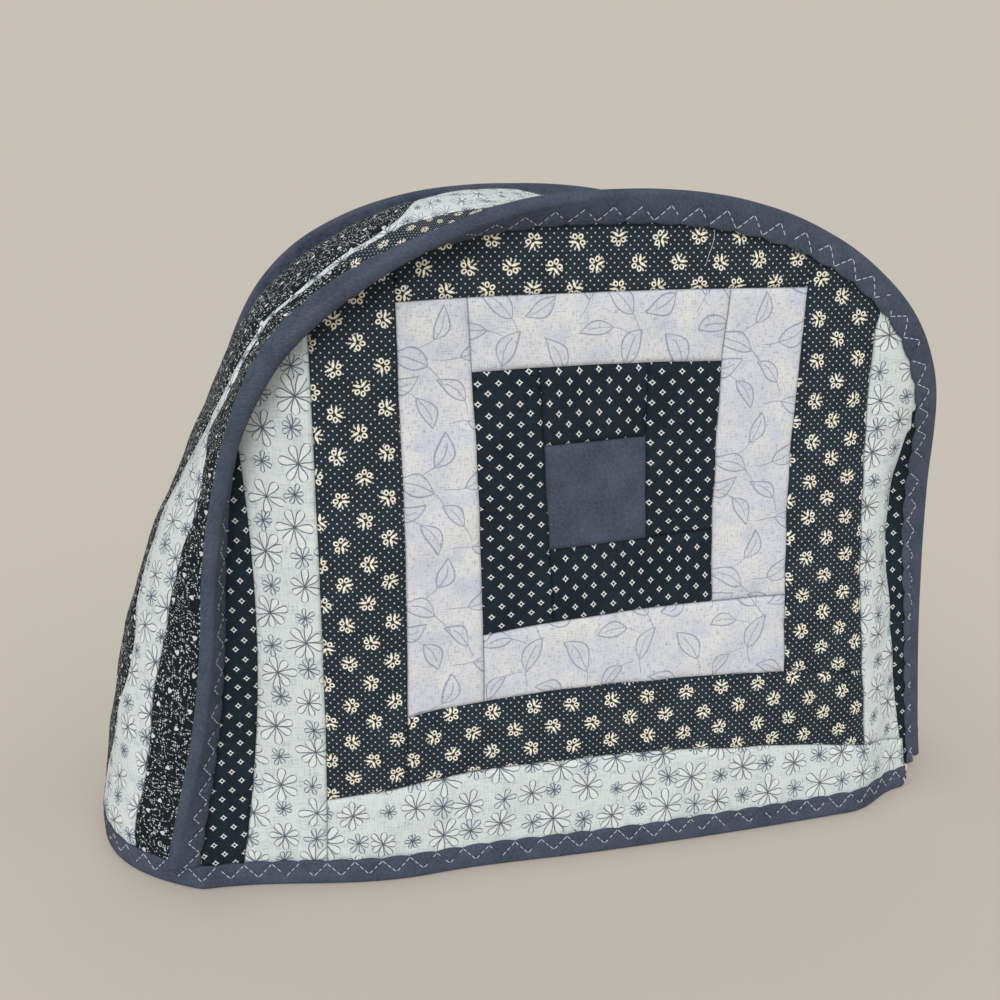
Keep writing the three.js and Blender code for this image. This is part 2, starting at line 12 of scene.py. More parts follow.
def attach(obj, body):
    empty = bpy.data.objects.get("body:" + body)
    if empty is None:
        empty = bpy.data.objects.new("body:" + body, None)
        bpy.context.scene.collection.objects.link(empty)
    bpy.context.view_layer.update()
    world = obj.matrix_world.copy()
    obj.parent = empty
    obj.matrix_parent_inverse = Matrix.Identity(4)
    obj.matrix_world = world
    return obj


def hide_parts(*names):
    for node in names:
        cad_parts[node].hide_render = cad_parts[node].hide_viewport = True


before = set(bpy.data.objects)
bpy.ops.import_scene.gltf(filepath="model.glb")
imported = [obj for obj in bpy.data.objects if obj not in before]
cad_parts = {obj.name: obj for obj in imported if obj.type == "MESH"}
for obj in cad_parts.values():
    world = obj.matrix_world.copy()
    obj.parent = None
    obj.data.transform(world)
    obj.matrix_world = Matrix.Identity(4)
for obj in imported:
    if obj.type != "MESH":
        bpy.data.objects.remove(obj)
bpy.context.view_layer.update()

# ---- Driving sizes in millimetres, +X right, +Y back, +Z up, heights over the table
MM = 0.001
TURN = 2 * math.pi
PANELS_APART = 160.0            # between the outer faces of the two panels
SQUARE_HEIGHT = 144.0           # height of the centre square's middle
LEAN = math.radians(2)          # each panel leans this much towards the other
CLOTH = 3.0                     # quilted cloth, face to face
SEAM_CLOTH = 1.2                # the same cloth pressed in a bound seam
EASE = 16.0                     # distance in which it swells from a seam to its full thickness
TAPE = 0.8                      # folded binding tape
GAP = 0.3                       # air between two pieces
FOOT = TAPE + GAP               # height of the cloth's lower edge in the hem's tape
HEM_BAND = 10.0                 # height of the hem's tape
HEM_CLEAR = 10.3                # below this the hem stands upright
HEM_CLOTH = 2.0                 # the cloth pressed in the hem
FLANGE_FOOT = 11.0              # height at which the bound seams start
FLANGE = 12.7                   # width of a seam's tape
ALLOWANCE = 9.2                 # cloth is kept this far into a bound seam
FACE_START = 1.3                # the tape's edge beside the panel, from the seam
REAR_START = 2.6                # and its edge beside the gusset
GUSSET_OUT = 2 * SEAM_CLOTH + GAP             # from the panel's face to the gusset's, in a seam
FACE_Q = -(GAP + TAPE)                        # the tape's two faces, on the same measure
REAR_Q = GUSSET_OUT + GAP + TAPE
MIDDLE = np.array([-3.05, -2.24, 0.0])        # footprint's middle, from the square's middle
CELL = 2.4                                    # spacing of a quilted piece's grid


# ---- Tables: a row for each section, a smooth curve between the rows
def table(columns, rows):
    return columns.split(), np.array(rows, float)


OUTLINE = table("height halfWidth", [
    (FOOT, 152), (24, 148), (59, 142.5), (94, 138.5), (129, 135.5), (156, 131), (179, 124),
    (198, 113.5), (214, 97), (226, 75), (234, 48), (237.5, 18), (237.8, 0)])

FRONT_SIDES = table("height leftBack leftIn leftFrom rightBack rightIn rightFrom", [
    (0, 14, 3, 62, 11, 6, 112), (34, 15, 4, 66, 13, 4.5, 110), (84, 15, 5.5, 80, 14, 2, 104),
    (134, 14, 5.5, 88, 10, -2.5, 97), (179, 12, 4, 88, 6, -4, 95), (209, 8, 2, 88, 3, -6, 95),
    (239, 3, 0, 88, 1, -6, 95)])
BACK_SIDES = table("height leftBack leftIn leftFrom rightBack rightIn rightFrom shift drop", [
    (0, 15, 4, 88, 14, 4, 95, 0, 0), (84, 15, 5, 88, 14, 5, 95, 5, 0),
    (144, 13, 5, 88, 12, 4, 95, 11, 1), (194, 9, 3, 88, 8, 2, 95, 14, 3),
    (239, 2, 0, 88, 2, 0, 95, 11, 3)])

# Soft troughs and swellings: across, height, half width, half height, turn, depth.
FRONT_DENTS = ((133, 124, 9, 34, 3, 12), (-60, 186, 22, 40, -30, 2.5), (-58, 118, 9, 60, 2, 1.6),
               (60, 60, 60, 60, 0, -2.5), (-50, 20, 35, 50, 0, 2.5))
BACK_DENTS = ((-118, 90, 12, 50, 0, 6), (20, 120, 80, 60, 0, -3), (70, 200, 20, 40, 25, 3))

# A bound seam's angle to the panel, how much further it rolls over up to its tip, how far out the
# gusset turns from it, and how far it is rippled along its middle.
FRONT_FLANGE = table("at lean curl slip ripple", [
    (0, 22, 0, 0, 0), (0.04, 34, 0, 0, 0), (0.07, 46, 0, 0, 0), (0.1, 55, 0, 0, 0),
    (0.14, 61, 2, 0, 0), (0.2, 66, 8, 0, 0), (0.26, 77, 16, 0, 0), (0.31, 87, 28, 0, 0),
    (0.36, 86, 30, 0, 0), (0.385, 80, 24, 0, 0), (0.41, 72, 16, 0, 0), (0.435, 62, 7, 0, 0),
    (0.46, 52, -3, 0, 0), (0.485, 44, -12, 0, 0), (0.51, 37.5, -19, 0, 0),
    (0.535, 32, -25, 0, 0), (0.565, 26, -34, 0, 0), (0.6, 19, -45, 0, 0),
    (0.66, 15, -56, 0.6, 0), (0.71, 9, -42, 1.4, 0), (0.76, 2, -26, 1.9, 0.3),
    (0.82, 2, -14, 1.9, 0.8), (0.88, -17, -12, 1.9, 1.1), (0.94, -24, -6, 1.9, 1.1),
    (1, -32, 0, 1.9, 0.8)])
BACK_FLANGE = table("at lean curl slip ripple", [
    (0, 20, 0, 0, 0), (0.1, 14, 0, 0, 0), (0.25, 5, 0, 0, 0), (0.38, -4, 0, 0, 0),
    (0.48, 4, 10, 0, 0), (0.58, 18, 20, 0, 0), (0.7, 14, 10, 0, 0), (0.85, 12, 0, 0, 0),
    (1, 20, 0, 0, 0)])
RIDGE_AT, RIDGE_HALF = 3.4, 1.7               # the ripple's ridge, from the seam
VALLEY_AT, VALLEY_HALF, VALLEY_SHARE = 6.8, 2.0, 0.9

GUSSET = table("at bulge crease tuck swell", [
    (0, 37, 0, 0, 0), (0.06, 37, 0, 0, 0), (0.12, 35, 0, 0, 0), (0.18, 27, 0, 0, 0),
    (0.24, 14, 3, 0, 3), (0.3, 3, 10, 0, 9), (0.36, -2, 12, 0, 11), (0.42, 1, 6, 0, 11),
    (0.455, 4, 2, 0, 9.5), (0.48, 6, 0, 0, 6), (0.52, 5, 1, 0, 2), (0.56, 5, 2, 0, 0),
    (0.64, 3, 4, 0, 0), (0.72, 6, 2, 1, 0), (0.8, 14, 0, 4, 0), (0.87, 22, 0, 9, 0),
    (0.94, 30, 0, 13, 0), (1, 32, 0, 8, 0)])
BULGE_POWER = 3.2
CREASE_ACROSS, CREASE_HALF = 0.36, 0.13
TUCK_ACROSS, TUCK_HALF = 0.09, 0.07
SWELL_ACROSS, SWELL_HALF = 0.8, 0.2

FRONT = SimpleNamespace(sides=FRONT_SIDES, dents=FRONT_DENTS, flange=FRONT_FLANGE, away=-1)
BACK = SimpleNamespace(sides=BACK_SIDES, dents=BACK_DENTS, flange=BACK_FLANGE, away=1)

# The block of a panel. Its seams are gentle curves: for the upright ones their place across, 60
# above and 20 and 100 below the centre square's middle, for the level ones their height 80 to the
# left, at and 80 to the right of it. The first and last of each lie beyond the cloth.
UPRIGHT_AT = (60, -20, -100)
UPRIGHT = ((-176, -176, -176), (-131, -125.5, -129.8), (-100.3, -100.6, -102.1),
           (-70.8, -70.1, -71.6), (-45.9, -43.1, -42.6), (-22.4, -17.7, -13),
           (18.2, 19.1, 22), (48, 45.3, 50), (78.8, 76.1, 79.7), (108, 108.8, 116.6),
           (133, 130, 141.5), (176, 176, 176))
LEVEL_AT = (-80, 0, 80)
LEVEL = ((110, 110, 110), (69.5, 71.3, 70.7), (43.1, 46.3, 43.7), (17, 19.2, 21.2),
         (-22.5, -19.1, -15), (-54.4, -46.4, -45.3), (-79.9, -74.2, -77.5),
         (-107.5, -103.5, -109.2), (FOOT - SQUARE_HEIGHT,) * 3)
CENTRE_COLUMN, CENTRE_ROW = 5, 3
RING_PRINTS = ("Slate cotton", "Navy diamond print", "Pale leaf print", "Navy posy print",
               "Daisy print", "Navy diamond print")


# ---- Small helpers
def smooth(start, end, x):
    t = np.clip((x - start) / (end - start), 0, 1)
    return t * t * (3 - 2 * t)


def bell(x):
    return np.exp(-x * x)


def rotated(x, y, cosine, sine):
    """Offsets along axes turned by an angle."""
    return x * cosine + y * sine, y * cosine - x * sine


def unit(v):
    return v / np.linalg.norm(v, axis=-1, keepdims=True)


def running(steps):
    """The running total along the last axis, from 0."""
    return np.cumsum(np.insert(steps, 0, 0, axis=-1), axis=-1)


def lengths(points):
    """Distance walked along a list of points, from the first to each."""
    return running(np.linalg.norm(np.diff(points, axis=0), axis=-1))


def come_round(rows):
    """The rows with the first one again after the last."""
    return np.concatenate([rows, rows[:1]])


def read(source, key):
    """The named columns of a table at each key: a cubic through each pair of rows, with the slope
    at a row taken from the rows beside it."""
    columns, rows = source
    x, y = rows[:, 0], rows[:, 1:]
    step = np.diff(x)[:, None]
    rise = np.diff(y, axis=0) / step
    inner = (rise[:-1] * step[1:] + rise[1:] * step[:-1]) / (step[1:] + step[:-1])
    slope = np.vstack([rise[:1], inner, rise[-1:]])
    key = np.asarray(key, float)
    i = np.clip(np.searchsorted(x, key, side="right") - 1, 0, len(x) - 2)
    t = np.clip((key - x[i]) / step[i, 0], 0, 1)[..., None]
    a, b, start, end = y[i], y[i + 1], slope[i] * step[i], slope[i + 1] * step[i]
    out = a + t * (start + t * (3 * (b - a) - 2 * start - end + t * (2 * (a - b) + start + end)))
    return {name: out[..., n] for n, name in enumerate(columns[1:])}


def waves(x, y, seed, shortest, longest):
    """Unevenness about 1 high: a sum of ten sine waves of random direction, length and phase."""
    count = 10
    draw = np.random.default_rng(seed)
    turn = draw.uniform(0, TURN, count)
    phase = draw.uniform(0, TURN, count)
    length = np.exp(draw.uniform(np.log(shortest), np.log(longest), count))
    total = 0
    for a, b, c in zip(turn, phase, length):
        total = total + np.sin(TURN * (x * np.cos(a) + y * np.sin(a)) / c + b)
    return total / math.sqrt(count)


def puckers(x, y, seed, slack, shortest, ripple):
    """Quilted cloth's unevenness: soft slack up to 60 mm long and fine ripples on it."""
    return slack * waves(x, y, seed, shortest, 60) + ripple * waves(x, y, seed + 1, 5, 11)


# ---- A panel's sewn outline
OUTLINE_STEPS = 1200             # from foot to foot


def walk_outline():
    """Points along the outline, left foot to right foot: a curve through the rows of OUTLINE,
    taken by the length of the straight lines between them."""
    rows = OUTLINE[1]
    chord = lengths(rows)
    left = np.stack([chord, -rows[:, 1], rows[:, 0]], 1)
    right = np.stack([2 * chord[-1] - chord, rows[:, 1], rows[:, 0]], 1)[-2::-1]
    walk = read(table("way across height", np.vstack([left, right])),
                np.linspace(0, 2 * chord[-1], OUTLINE_STEPS + 1))
    points = np.stack([walk["across"], walk["height"]], 1)
    way = lengths(points)
    return way / way[-1], points, way[-1]


OUTLINE_AT, OUTLINE_POINTS, OUTLINE_LENGTH = walk_outline()


def outline(at):
    """Across and height of the outline at shares of its length."""
    return [np.interp(at, OUTLINE_AT, OUTLINE_POINTS[:, n]) for n in (0, 1)]


def at_height(height):
    """Share of the outline's length at a height on its left half."""
    half = len(OUTLINE_AT) // 2
    return np.interp(height, OUTLINE_POINTS[:half, 1], OUTLINE_AT[:half])


FOOT_AT = at_height(FLANGE_FOOT)
CLEAR_AT = at_height(HEM_CLEAR)


def from_outline(across, height):
    """The nearest place on the outline, as its at, and the distance beyond it, below 0 inside."""
    tangent = unit(np.gradient(OUTLINE_POINTS, axis=0))
    places = np.stack([across.ravel(), height.ravel()], 1)
    nearest = np.concatenate([
        ((part[:, None] - OUTLINE_POINTS[None]) ** 2).sum(-1).argmin(1)
        for part in np.array_split(places, 24)])
    off = places - OUTLINE_POINTS[nearest]
    t = tangent[nearest]
    along = (off * t).sum(-1)
    beyond = off[:, 1] * t[:, 0] - off[:, 0] * t[:, 1]
    at = np.clip(OUTLINE_AT[nearest] + along / OUTLINE_LENGTH, 0, 1)
    return at.reshape(across.shape), beyond.reshape(across.shape)


# ---- Surfaces
def face_place(side, across, height, sink=0.0):
    """A panel's outer face over a flat place: the plane leans by LEAN, its side edges are drawn
    back and in by smooth steps, each dent is a turned bell, and sink goes into the cover. Under
    HEM_CLEAR the face stands upright."""
    low = np.maximum(height, HEM_CLEAR)
    edge = read(side.sides, low)
    left = smooth(edge["leftFrom"], 152, -across)
    right = smooth(edge["rightFrom"], 150, across)
    back = (low - SQUARE_HEIGHT) * math.tan(LEAN) + sink
    back = back + edge["leftBack"] * left + edge["rightBack"] * right
    for x0, z0, wide, tall, turn, depth in side.dents:
        turn = math.radians(turn)
        x, z = rotated(across - x0, low - z0, math.cos(turn), math.sin(turn))
        back = back + depth * bell(np.hypot(x / wide, z / tall))
    x = across + edge["leftIn"] * left - edge["rightIn"] * right + edge.get("shift", 0)
    y = side.away * (PANELS_APART / 2 - back)
    return np.stack([x, y, height - edge.get("drop", 0)], -1) - MIDDLE


def seam_frame(side, at):
    """A seam's place, and its directions along it, away from the cover and out of the panel's
    edge."""
    step = 1e-3
    root, ahead, behind = [face_place(side, *outline(np.clip(at + d, 0, 1)))
                           for d in (0, step, -step)]
    along = unit(ahead - behind)
    away = unit(np.array([0, side.away, 0.0]) - along * along[..., 1:2] * side.away)
    return root, along, away, -side.away * np.cross(away, along)


def flange_place(side, at, p, q):
    """A place in a bound seam: p along an arc from the seam, whose angle to the panel grows from
    lean by curl over the flange, and q square to it, from the panel's face towards the gusset. A
    ripple along it is a ridge followed by a valley."""
    root, _, away, out = seam_frame(side, at)
    shape = read(side.flange, at)
    lean = np.radians(shape["lean"])
    bend = np.radians(shape["curl"]) / FLANGE
    bend = np.where(np.abs(bend) < 1e-5, 1e-5, bend)
    q = q - shape["ripple"] * (bell((p - RIDGE_AT) / RIDGE_HALF)
                               - VALLEY_SHARE * bell((p - VALLEY_AT) / VALLEY_HALF))
    turn = lean + bend * p
    run = (np.sin(turn) - np.sin(lean)) / bend + q * np.sin(turn)
    rise = (np.cos(lean) - np.cos(turn)) / bend - q * np.cos(turn)
    return root + out * run[..., None] + away * rise[..., None]


def gusset_edge(side, at, height):
    """Where the gusset turns out of a seam, and the panel's corner down in the hem."""
    corner = face_place(side, *outline(at))
    root = flange_place(side, at, read(side.flange, at)["slip"], GUSSET_OUT)
    share = smooth(HEM_CLEAR, HEM_CLEAR + 3, height)[..., None]
    return corner + share * (root - corner)


def gusset_place(at, width, lift=0.0):
    """The gusset's outer face: straight from seam to seam, moved out by its bulge and its swell,
    in by its crease and its tuck, and out by lift. It moves level down at the hem."""
    at, width = np.broadcast_arrays(at, width)
    low = np.clip(at, CLEAR_AT, 1 - CLEAR_AT)
    height = outline(low)[1]
    start, end = [gusset_edge(side, low, height) for side in (FRONT, BACK)]
    out = seam_frame(FRONT, low)[3]
    shape = read(GUSSET, low)
    full = 1 - np.abs(2 * width - 1) ** BULGE_POWER
    move = full * (shape["bulge"] - shape["crease"] * bell((width - CREASE_ACROSS) / CREASE_HALF)
                   + shape["swell"] * bell((width - SWELL_ACROSS) / SWELL_HALF))
    move = move - shape["tuck"] * bell((width - TUCK_ACROSS) / TUCK_HALF) * full ** 0.25 + lift
    out[..., 2] *= smooth(0, 0.1, np.minimum(low, 1 - low))
    place = start + (end - start) * width[..., None] + unit(out) * move[..., None]
    place[..., 2] += outline(at)[1] - height
    return place


# ---- Making pieces
def make_piece(name, points, faces, materials, prints=0, cloth=None, seam=None):
    """A smooth mesh from millimetre points and faces. cloth holds each face corner's place on the
    flat cloth, in metres, for the map that the prints read, and seam is 1 at the points in a seam
    between patches, where shade is painted into the cloth's colour."""
    mesh = bpy.data.meshes.new(name)
    mesh.from_pydata((points * MM).tolist(), [], faces)
    for material in materials:
        mesh.materials.append(bpy.data.materials[material])
    count = len(mesh.polygons)
    mesh.polygons.foreach_set("material_index", np.broadcast_to(prints, count).astype(np.int32))
    mesh.polygons.foreach_set("use_smooth", np.ones(count, bool))
    if cloth is not None:
        mesh.uv_layers.new(name="Cloth").data.foreach_set("uv", cloth.ravel())
    if seam is not None:
        mesh.attributes.new("Seam", "FLOAT", "POINT").data.foreach_set("value", seam)
    mesh.update()
    piece = bpy.data.objects.new(name, mesh)
    bpy.context.scene.collection.objects.link(piece)
    return piece


def numbers(rows, columns):
    return np.arange(rows * columns).reshape(rows, columns)


def cells(index):
    """Quads of a grid of point numbers, each from its first corner down, across and up."""
    return np.stack([index[:-1, :-1], index[1:, :-1], index[1:, 1:], index[:-1, 1:]], -1)


def quilt(name, outer, thickness, quads, prints, cloth, materials, seam):
    """Quilted cloth as a closed piece: the outer face as given, an inner face its thickness below
    it, and a wall along each free edge. The last material lines it."""
    count = len(outer)
    corners = outer[quads]
    area = np.cross(corners[:, 2] - corners[:, 0], corners[:, 3] - corners[:, 1])
    normal = np.zeros_like(outer)
    for k in range(4):
        np.add.at(normal, quads[:, k], area)
    normal = normal / np.maximum(np.linalg.norm(normal, axis=1, keepdims=True), 1e-12)
    points = np.vstack([outer, outer - normal * thickness[:, None]])
    start, end = quads.ravel(), np.roll(quads, -1, axis=1).ravel()
    free = ~np.isin(start * count + end, end * count + start)
    start, end = start[free], end[free]
    wall = np.stack([start, start + count, end + count, end], 1)
    first, second = [x.reshape(-1, 2)[free] for x in (cloth, np.roll(cloth, -1, axis=1))]
    corners = np.concatenate([cloth, cloth[:, ::-1], np.stack([first, first, second, second], 1)])
    lining = np.full(len(quads) + len(wall), len(materials) - 1)
    used, faces = np.unique(np.vstack([quads, quads[:, ::-1] + count, wall]), return_inverse=True)
    seam = np.concatenate([seam, 0 * seam])[used].astype(np.float32)
    return make_piece(name, points[used], faces.reshape(-1, 4).tolist(), materials,
                      np.concatenate([prints, lining]), corners, seam)


def chart_lines(widths):
    """Grid lines over a row of patches, as patch number plus share: close together beside each
    seam, where the cloth dips, and about CELL apart between."""
    beside = np.array([0.45, 1.1, 2.2])
    marks = []
    for patch, width in enumerate(widths):
        count = max(round((width - 2 * beside[-1]) / CELL), 1)
        middle = np.linspace(beside[-1], width - beside[-1], count + 1)
        places = np.concatenate([[0], beside[:-1], middle, width - beside[-2::-1]])
        marks.append(patch + places / width)
    return np.concatenate([*marks, [len(widths)]])


def between(curves, position):
    """A quadratic's three factors between the two seams on either side of a position."""
    k = np.minimum(position.astype(int), curves.shape[1] - 2)
    share = position - k
    return curves[:, k] * (1 - share) + curves[:, k + 1] * share


DITCH, DITCH_HALF = 1.1, 0.7
HOLLOW, HOLLOW_HALF = 0.4, 4.0


def dip(distance):
    """How far cloth sinks beside a seam: a narrow ditch in a wide shallow hollow."""
    return DITCH * bell(distance / DITCH_HALF) + HOLLOW * bell(distance / HOLLOW_HALF)


def painted_seam_shade_mask(dips):
    """Where shade is painted into a seam: 1 in a seam and 0 from a third of a millimetre beside it,
    from the depth of its dip.
    """
    return smooth(1.25, DITCH + HOLLOW, dips)


def seam_dips(distance, seams, where):
    """The dip beside each seam of a chart, taken only where the seam is sewn. where tells, for
    each place, the patch beside it; a place on a line between two patches counts for both."""
    here = np.minimum(where.astype(int), seams.shape[1] - 1)
    before = np.maximum(np.ceil(where).astype(int) - 1, 0)
    return np.max([dip(off) * (seam[here] | seam[before])
                   for off, seam in zip(distance, seams, strict=True)], axis=0)


def block_chart():
    """Ring and side of each patch of the block: the left log of a ring is full height, the bottom
    log runs from it to the right edge, and the top and right logs fill what is left."""
    column = np.arange(len(UPRIGHT) - 1)[None] - CENTRE_COLUMN
    row = np.arange(len(LEVEL) - 1)[:, None] - CENTRE_ROW
    ring = np.maximum(np.abs(column), np.abs(row))
    log = np.select([(column == -ring), (row == ring), (column == ring)], [0, 3, 2], 1)
    return ring, np.where(ring == 0, 0, log)


def patchwork(name, side, seed):
    """A quilted panel. A chart of seams is crossed into a grid on the flat, each place is carried
    to the panel's face, and what lies beyond the outline is carried on into the bound seam."""
    upright, level = [np.linalg.solve(np.vander(at, 3).astype(float), np.transpose(curves))
                      for at, curves in ((UPRIGHT_AT, UPRIGHT), (LEVEL_AT, LEVEL))]
    columns = chart_lines(np.diff(np.array(UPRIGHT)[:, 1]))[None, :]
    rows = chart_lines(-np.diff(np.array(LEVEL)[:, 1]))[:, None]
    a, b = between(upright, columns), between(level, rows)
    across = np.zeros((rows.size, columns.size))
    for _ in range(8):
        up = b[0] * across ** 2 + b[1] * across + b[2]
        across = a[0] * up ** 2 + a[1] * up + a[2]
    height = up + SQUARE_HEIGHT

    at, beyond = from_outline(across, height)
    on_edge = np.abs(beyond) < CELL / 2
    edge_across, edge_height = outline(at)
    across = np.where(on_edge, edge_across, across)
    height = np.where(on_edge, edge_height, height)
    beyond = np.where(on_edge, 0, beyond)

    ring, log = block_chart()
    patch = ring * 4 + log
    column_seams = patch[:, :-1] != patch[:, 1:]
    row_seams = patch[:-1] != patch[1:]
    off_column = [across - np.polyval(upright[:, k], up) for k in range(1, len(UPRIGHT) - 1)]
    off_row = [up - np.polyval(level[:, k], across) for k in range(1, len(LEVEL) - 1)]
    where_row = np.broadcast_to(rows, across.shape)
    where_column = np.broadcast_to(columns, across.shape)
    dips = np.maximum(seam_dips(off_column, column_seams.T, where_row),
                      seam_dips(off_row, row_seams, where_column))
    sink = dips + puckers(across, height, seed, slack=0.42, shortest=15, ripple=0.07)
    sink = sink * smooth(0, 5, -beyond)
    places = np.where(beyond[..., None] > 0, flange_place(side, at, beyond, 0.0),
                      face_place(side, across, height, sink))
    thickness = SEAM_CLOTH + (CLOTH - SEAM_CLOTH) * smooth(0, EASE, -beyond)

    quads = cells(numbers(*across.shape))
    kept = beyond <= np.where(height < FLANGE_FOOT, 0.01, ALLOWANCE)
    keep = kept.ravel()[quads].all(-1)
    quad_patch = patch[rows[:-1].astype(int), columns[:, :-1].astype(int)][keep]
    quads = quads[keep]
    draw = np.random.default_rng(seed)
    shift = draw.uniform(0, 0.5, (patch.max() + 1, 2))
    flat = np.stack([across, height], -1).reshape(-1, 2)[quads] * MM
    turned = np.stack([flat[..., 1], -flat[..., 0]], -1)
    upended = (quad_patch % 2 == 1)[:, None, None]
    cloth = np.where(upended, turned, flat) + shift[quad_patch][:, None]
    if side.away > 0:
        quads, cloth = quads[:, ::-1], cloth[:, ::-1]
    materials = list(dict.fromkeys(RING_PRINTS))
    slot_of = np.array([materials.index(x) for x in RING_PRINTS])
    # The last argument is the mask for the painted shade in the seams between patches.
    return quilt(name, places.reshape(-1, 3), thickness.ravel(), quads,
                 slot_of[quad_patch // 4], cloth, [*materials, "Plain lining cotton"],
                 (painted_seam_shade_mask(dips) * (beyond <= 0)).ravel())


# The two seams between the gusset's strips, as shares of its width.
STRIPS = table("at front back", [
    (0, 0.15, 0.44), (0.03, 0.14, 0.43), (0.06, 0.13, 0.33), (0.085, 0.134, 0.285),
    (0.11, 0.134, 0.26), (0.134, 0.124, 0.28), (0.16, 0.122, 0.34), (0.185, 0.117, 0.39),
    (0.216, 0.1, 0.41), (0.235, 0.107, 0.43), (0.248, 0.17, 0.455), (0.26, 0.42, 0.49),
    (0.275, 0.49, 0.525), (0.3, 0.53, 0.55), (0.36, 0.555, 0.575), (0.396, 0.58, 0.61),
    (0.408, 0.587, 0.63), (0.416, 0.58, 0.66), (0.426, 0.56, 0.74), (0.436, 0.545, 0.85),
    (0.445, 0.525, 0.92), (0.46, 0.475, 0.94), (0.472, 0.4, 0.9), (0.486, 0.35, 0.78),
    (0.5, 0.31, 0.64), (0.53, 0.28, 0.6), (0.6, 0.26, 0.66), (0.68, 0.24, 0.7), (1, 0.24, 0.7)])
# Where the front and the back strip change from the vine print to the posy print.
VINE_ENDS = (0.37, 0.435)
STRIP_WIDTHS = (0.2, 0.35, 0.45)              # front to back, for the spacing of the grid
STRIP_PRINTS = ("Heart and vine print", "Daisy print", "Navy posy print")
CUT_FROM = ((0.11, 0.07), (0.31, 0.24), (0.05, 0.18))   # where on each print, in metres
IN_SEAM = np.array([1.8, 3.8, 5.8, 7.3])      # rows of the gusset's cloth in a bound seam


def gusset_strips(name):
    """The gusset: three strips side by side, on a grid along it and from border to border of each
    strip, with its allowances carried on into both bound seams."""
    marks = chart_lines(np.array(STRIP_WIDTHS) * PANELS_APART)
    k = np.minimum(marks.astype(int), 2)
    ends = np.array([0, *VINE_ENDS, *(1 - x for x in VINE_ENDS[::-1]), 1])
    parts = np.diff(ends) * OUTLINE_LENGTH
    marks_at = chart_lines(parts)
    j = np.minimum(marks_at.astype(int), len(parts) - 1)
    at = ends[j] + (marks_at - j) * parts[j] / OUTLINE_LENGTH
    seams = read(STRIPS, at)
    borders = np.stack([0 * at, seams["front"], seams["back"], 0 * at + 1], 1)
    across = borders[:, k] + (borders[:, k + 1] - borders[:, k]) * (marks - k)
    at = np.broadcast_to(at[:, None], across.shape)
    off_strip = np.abs(across[..., None] - borders[:, None, 1:3]).min(-1) * PANELS_APART
    off_front, off_back = [np.minimum(np.abs(at - x), np.abs(at - 1 + x)) * OUTLINE_LENGTH
                           for x in VINE_ENDS]
    x, y = across * PANELS_APART, at * OUTLINE_LENGTH
    sink = np.max([dip(off_strip), dip(off_front) * (marks <= 1), dip(off_back) * (marks >= 2)], 0)
    # A mask for the painted shade in the seams between strips.
    seam = painted_seam_shade_mask(sink)
    sink = sink + puckers(x, y, 31, slack=0.45, shortest=16, ripple=0.08)
    body = gusset_place(at, across, -sink * smooth(0, 0.05, np.minimum(across, 1 - across)))

    front, back = [flange_place(side, at[:, :1], read(side.flange, at[:, :1])["slip"] + IN_SEAM,
                                GUSSET_OUT) for side in (FRONT, BACK)]
    places = np.concatenate([front[:, ::-1], body, back], 1)
    n, count = len(IN_SEAM), places.shape[1]
    seam = np.pad(seam, ((0, 0), (n, n)))
    from_edge = np.minimum(across, 1 - across) * PANELS_APART
    thickness = np.full(places.shape[:2], SEAM_CLOTH)
    thickness[:, n:count - n] += (CLOTH - SEAM_CLOTH) * smooth(0, EASE, from_edge)

    quads = cells(numbers(*places.shape[:2]))
    column = np.arange(count - 1)
    has_seam = outline(at[:, 0])[1] >= FLANGE_FOOT - 0.01
    in_body = (column >= n) & (column < count - n - 1)
    kept = in_body[None] | (has_seam[:-1] & has_seam[1:])[:, None]
    strip = k[np.clip(column - n, 0, len(k) - 2)]
    steps_in = np.minimum(j, len(parts) - 1 - j)[:-1, None]
    posy = (steps_in > strip / 2) & (strip != 1)
    prints = np.where(posy, 2, strip == 1)[kept]
    quads = quads[kept]

    along = lengths(body[:, body.shape[1] // 2])
    sideways = running(np.linalg.norm(np.diff(places, axis=1), axis=-1))
    first = n + np.searchsorted(k, [0, 1, 2])
    row, place = np.divmod(quads, count)
    strip_of = np.broadcast_to(strip[None], kept.shape)[kept][:, None]
    flat = np.stack([sideways[row, place] - sideways[row, first[strip_of]], along[row]], -1) * MM
    cloth = flat + np.array(CUT_FROM)[prints][:, None]
    return quilt(name, places.reshape(-1, 3), thickness.ravel(), quads, prints, cloth,
                 [*STRIP_PRINTS, "Plain lining cotton"], seam.ravel())


# ---- Tapes
ZIGZAG = 10.2                    # wanted length of a zigzag, two legs
ZIG_EDGE, ZIG_HEIGHT = 1.0, 5.4  # its lower corners from the tape's edge, and how wide it is
GROOVE = 0.46                    # how deep the stitches are drawn into the tape
PUFF = 0.28                      # and how far the tape stands up beside them
SCALLOP, EDGE_OUT = 0.95, 0.4    # depth of its edge's scallops, and where they start


def zigzag(way, length):
    """The zigzag's place across the tape, 0 to 1, as a triangle wave with whole waves in the
    length, and the share of a wave there."""
    count = max(round(length / ZIGZAG), 1)
    phase = way / length * count
    return np.abs(2 * (phase - np.floor(phase)) - 1), count


def tape_relief(way, length, across):
    """How far a tape's face stands out, across being the distance from its edge: a puff all over
    and a groove along the zigzag."""
    wave, count = zigzag(way, length)
    leg = length / count / 2
    tilt = leg / math.hypot(leg, ZIG_HEIGHT)
    off = (across - ZIG_EDGE - ZIG_HEIGHT * wave) * tilt
    puff = PUFF * smooth(0, 1.2, across) * bell((across - 4) / 5)
    return puff - (GROOVE + puff) * bell(off / 0.75)


def scallop(way, length):
    """How far the tape's edge is drawn in: most beside the zigzag's lower corners, and less than
    nothing between them."""
    return SCALLOP * (1 - zigzag(way, length)[0]) ** 2 - EDGE_OUT


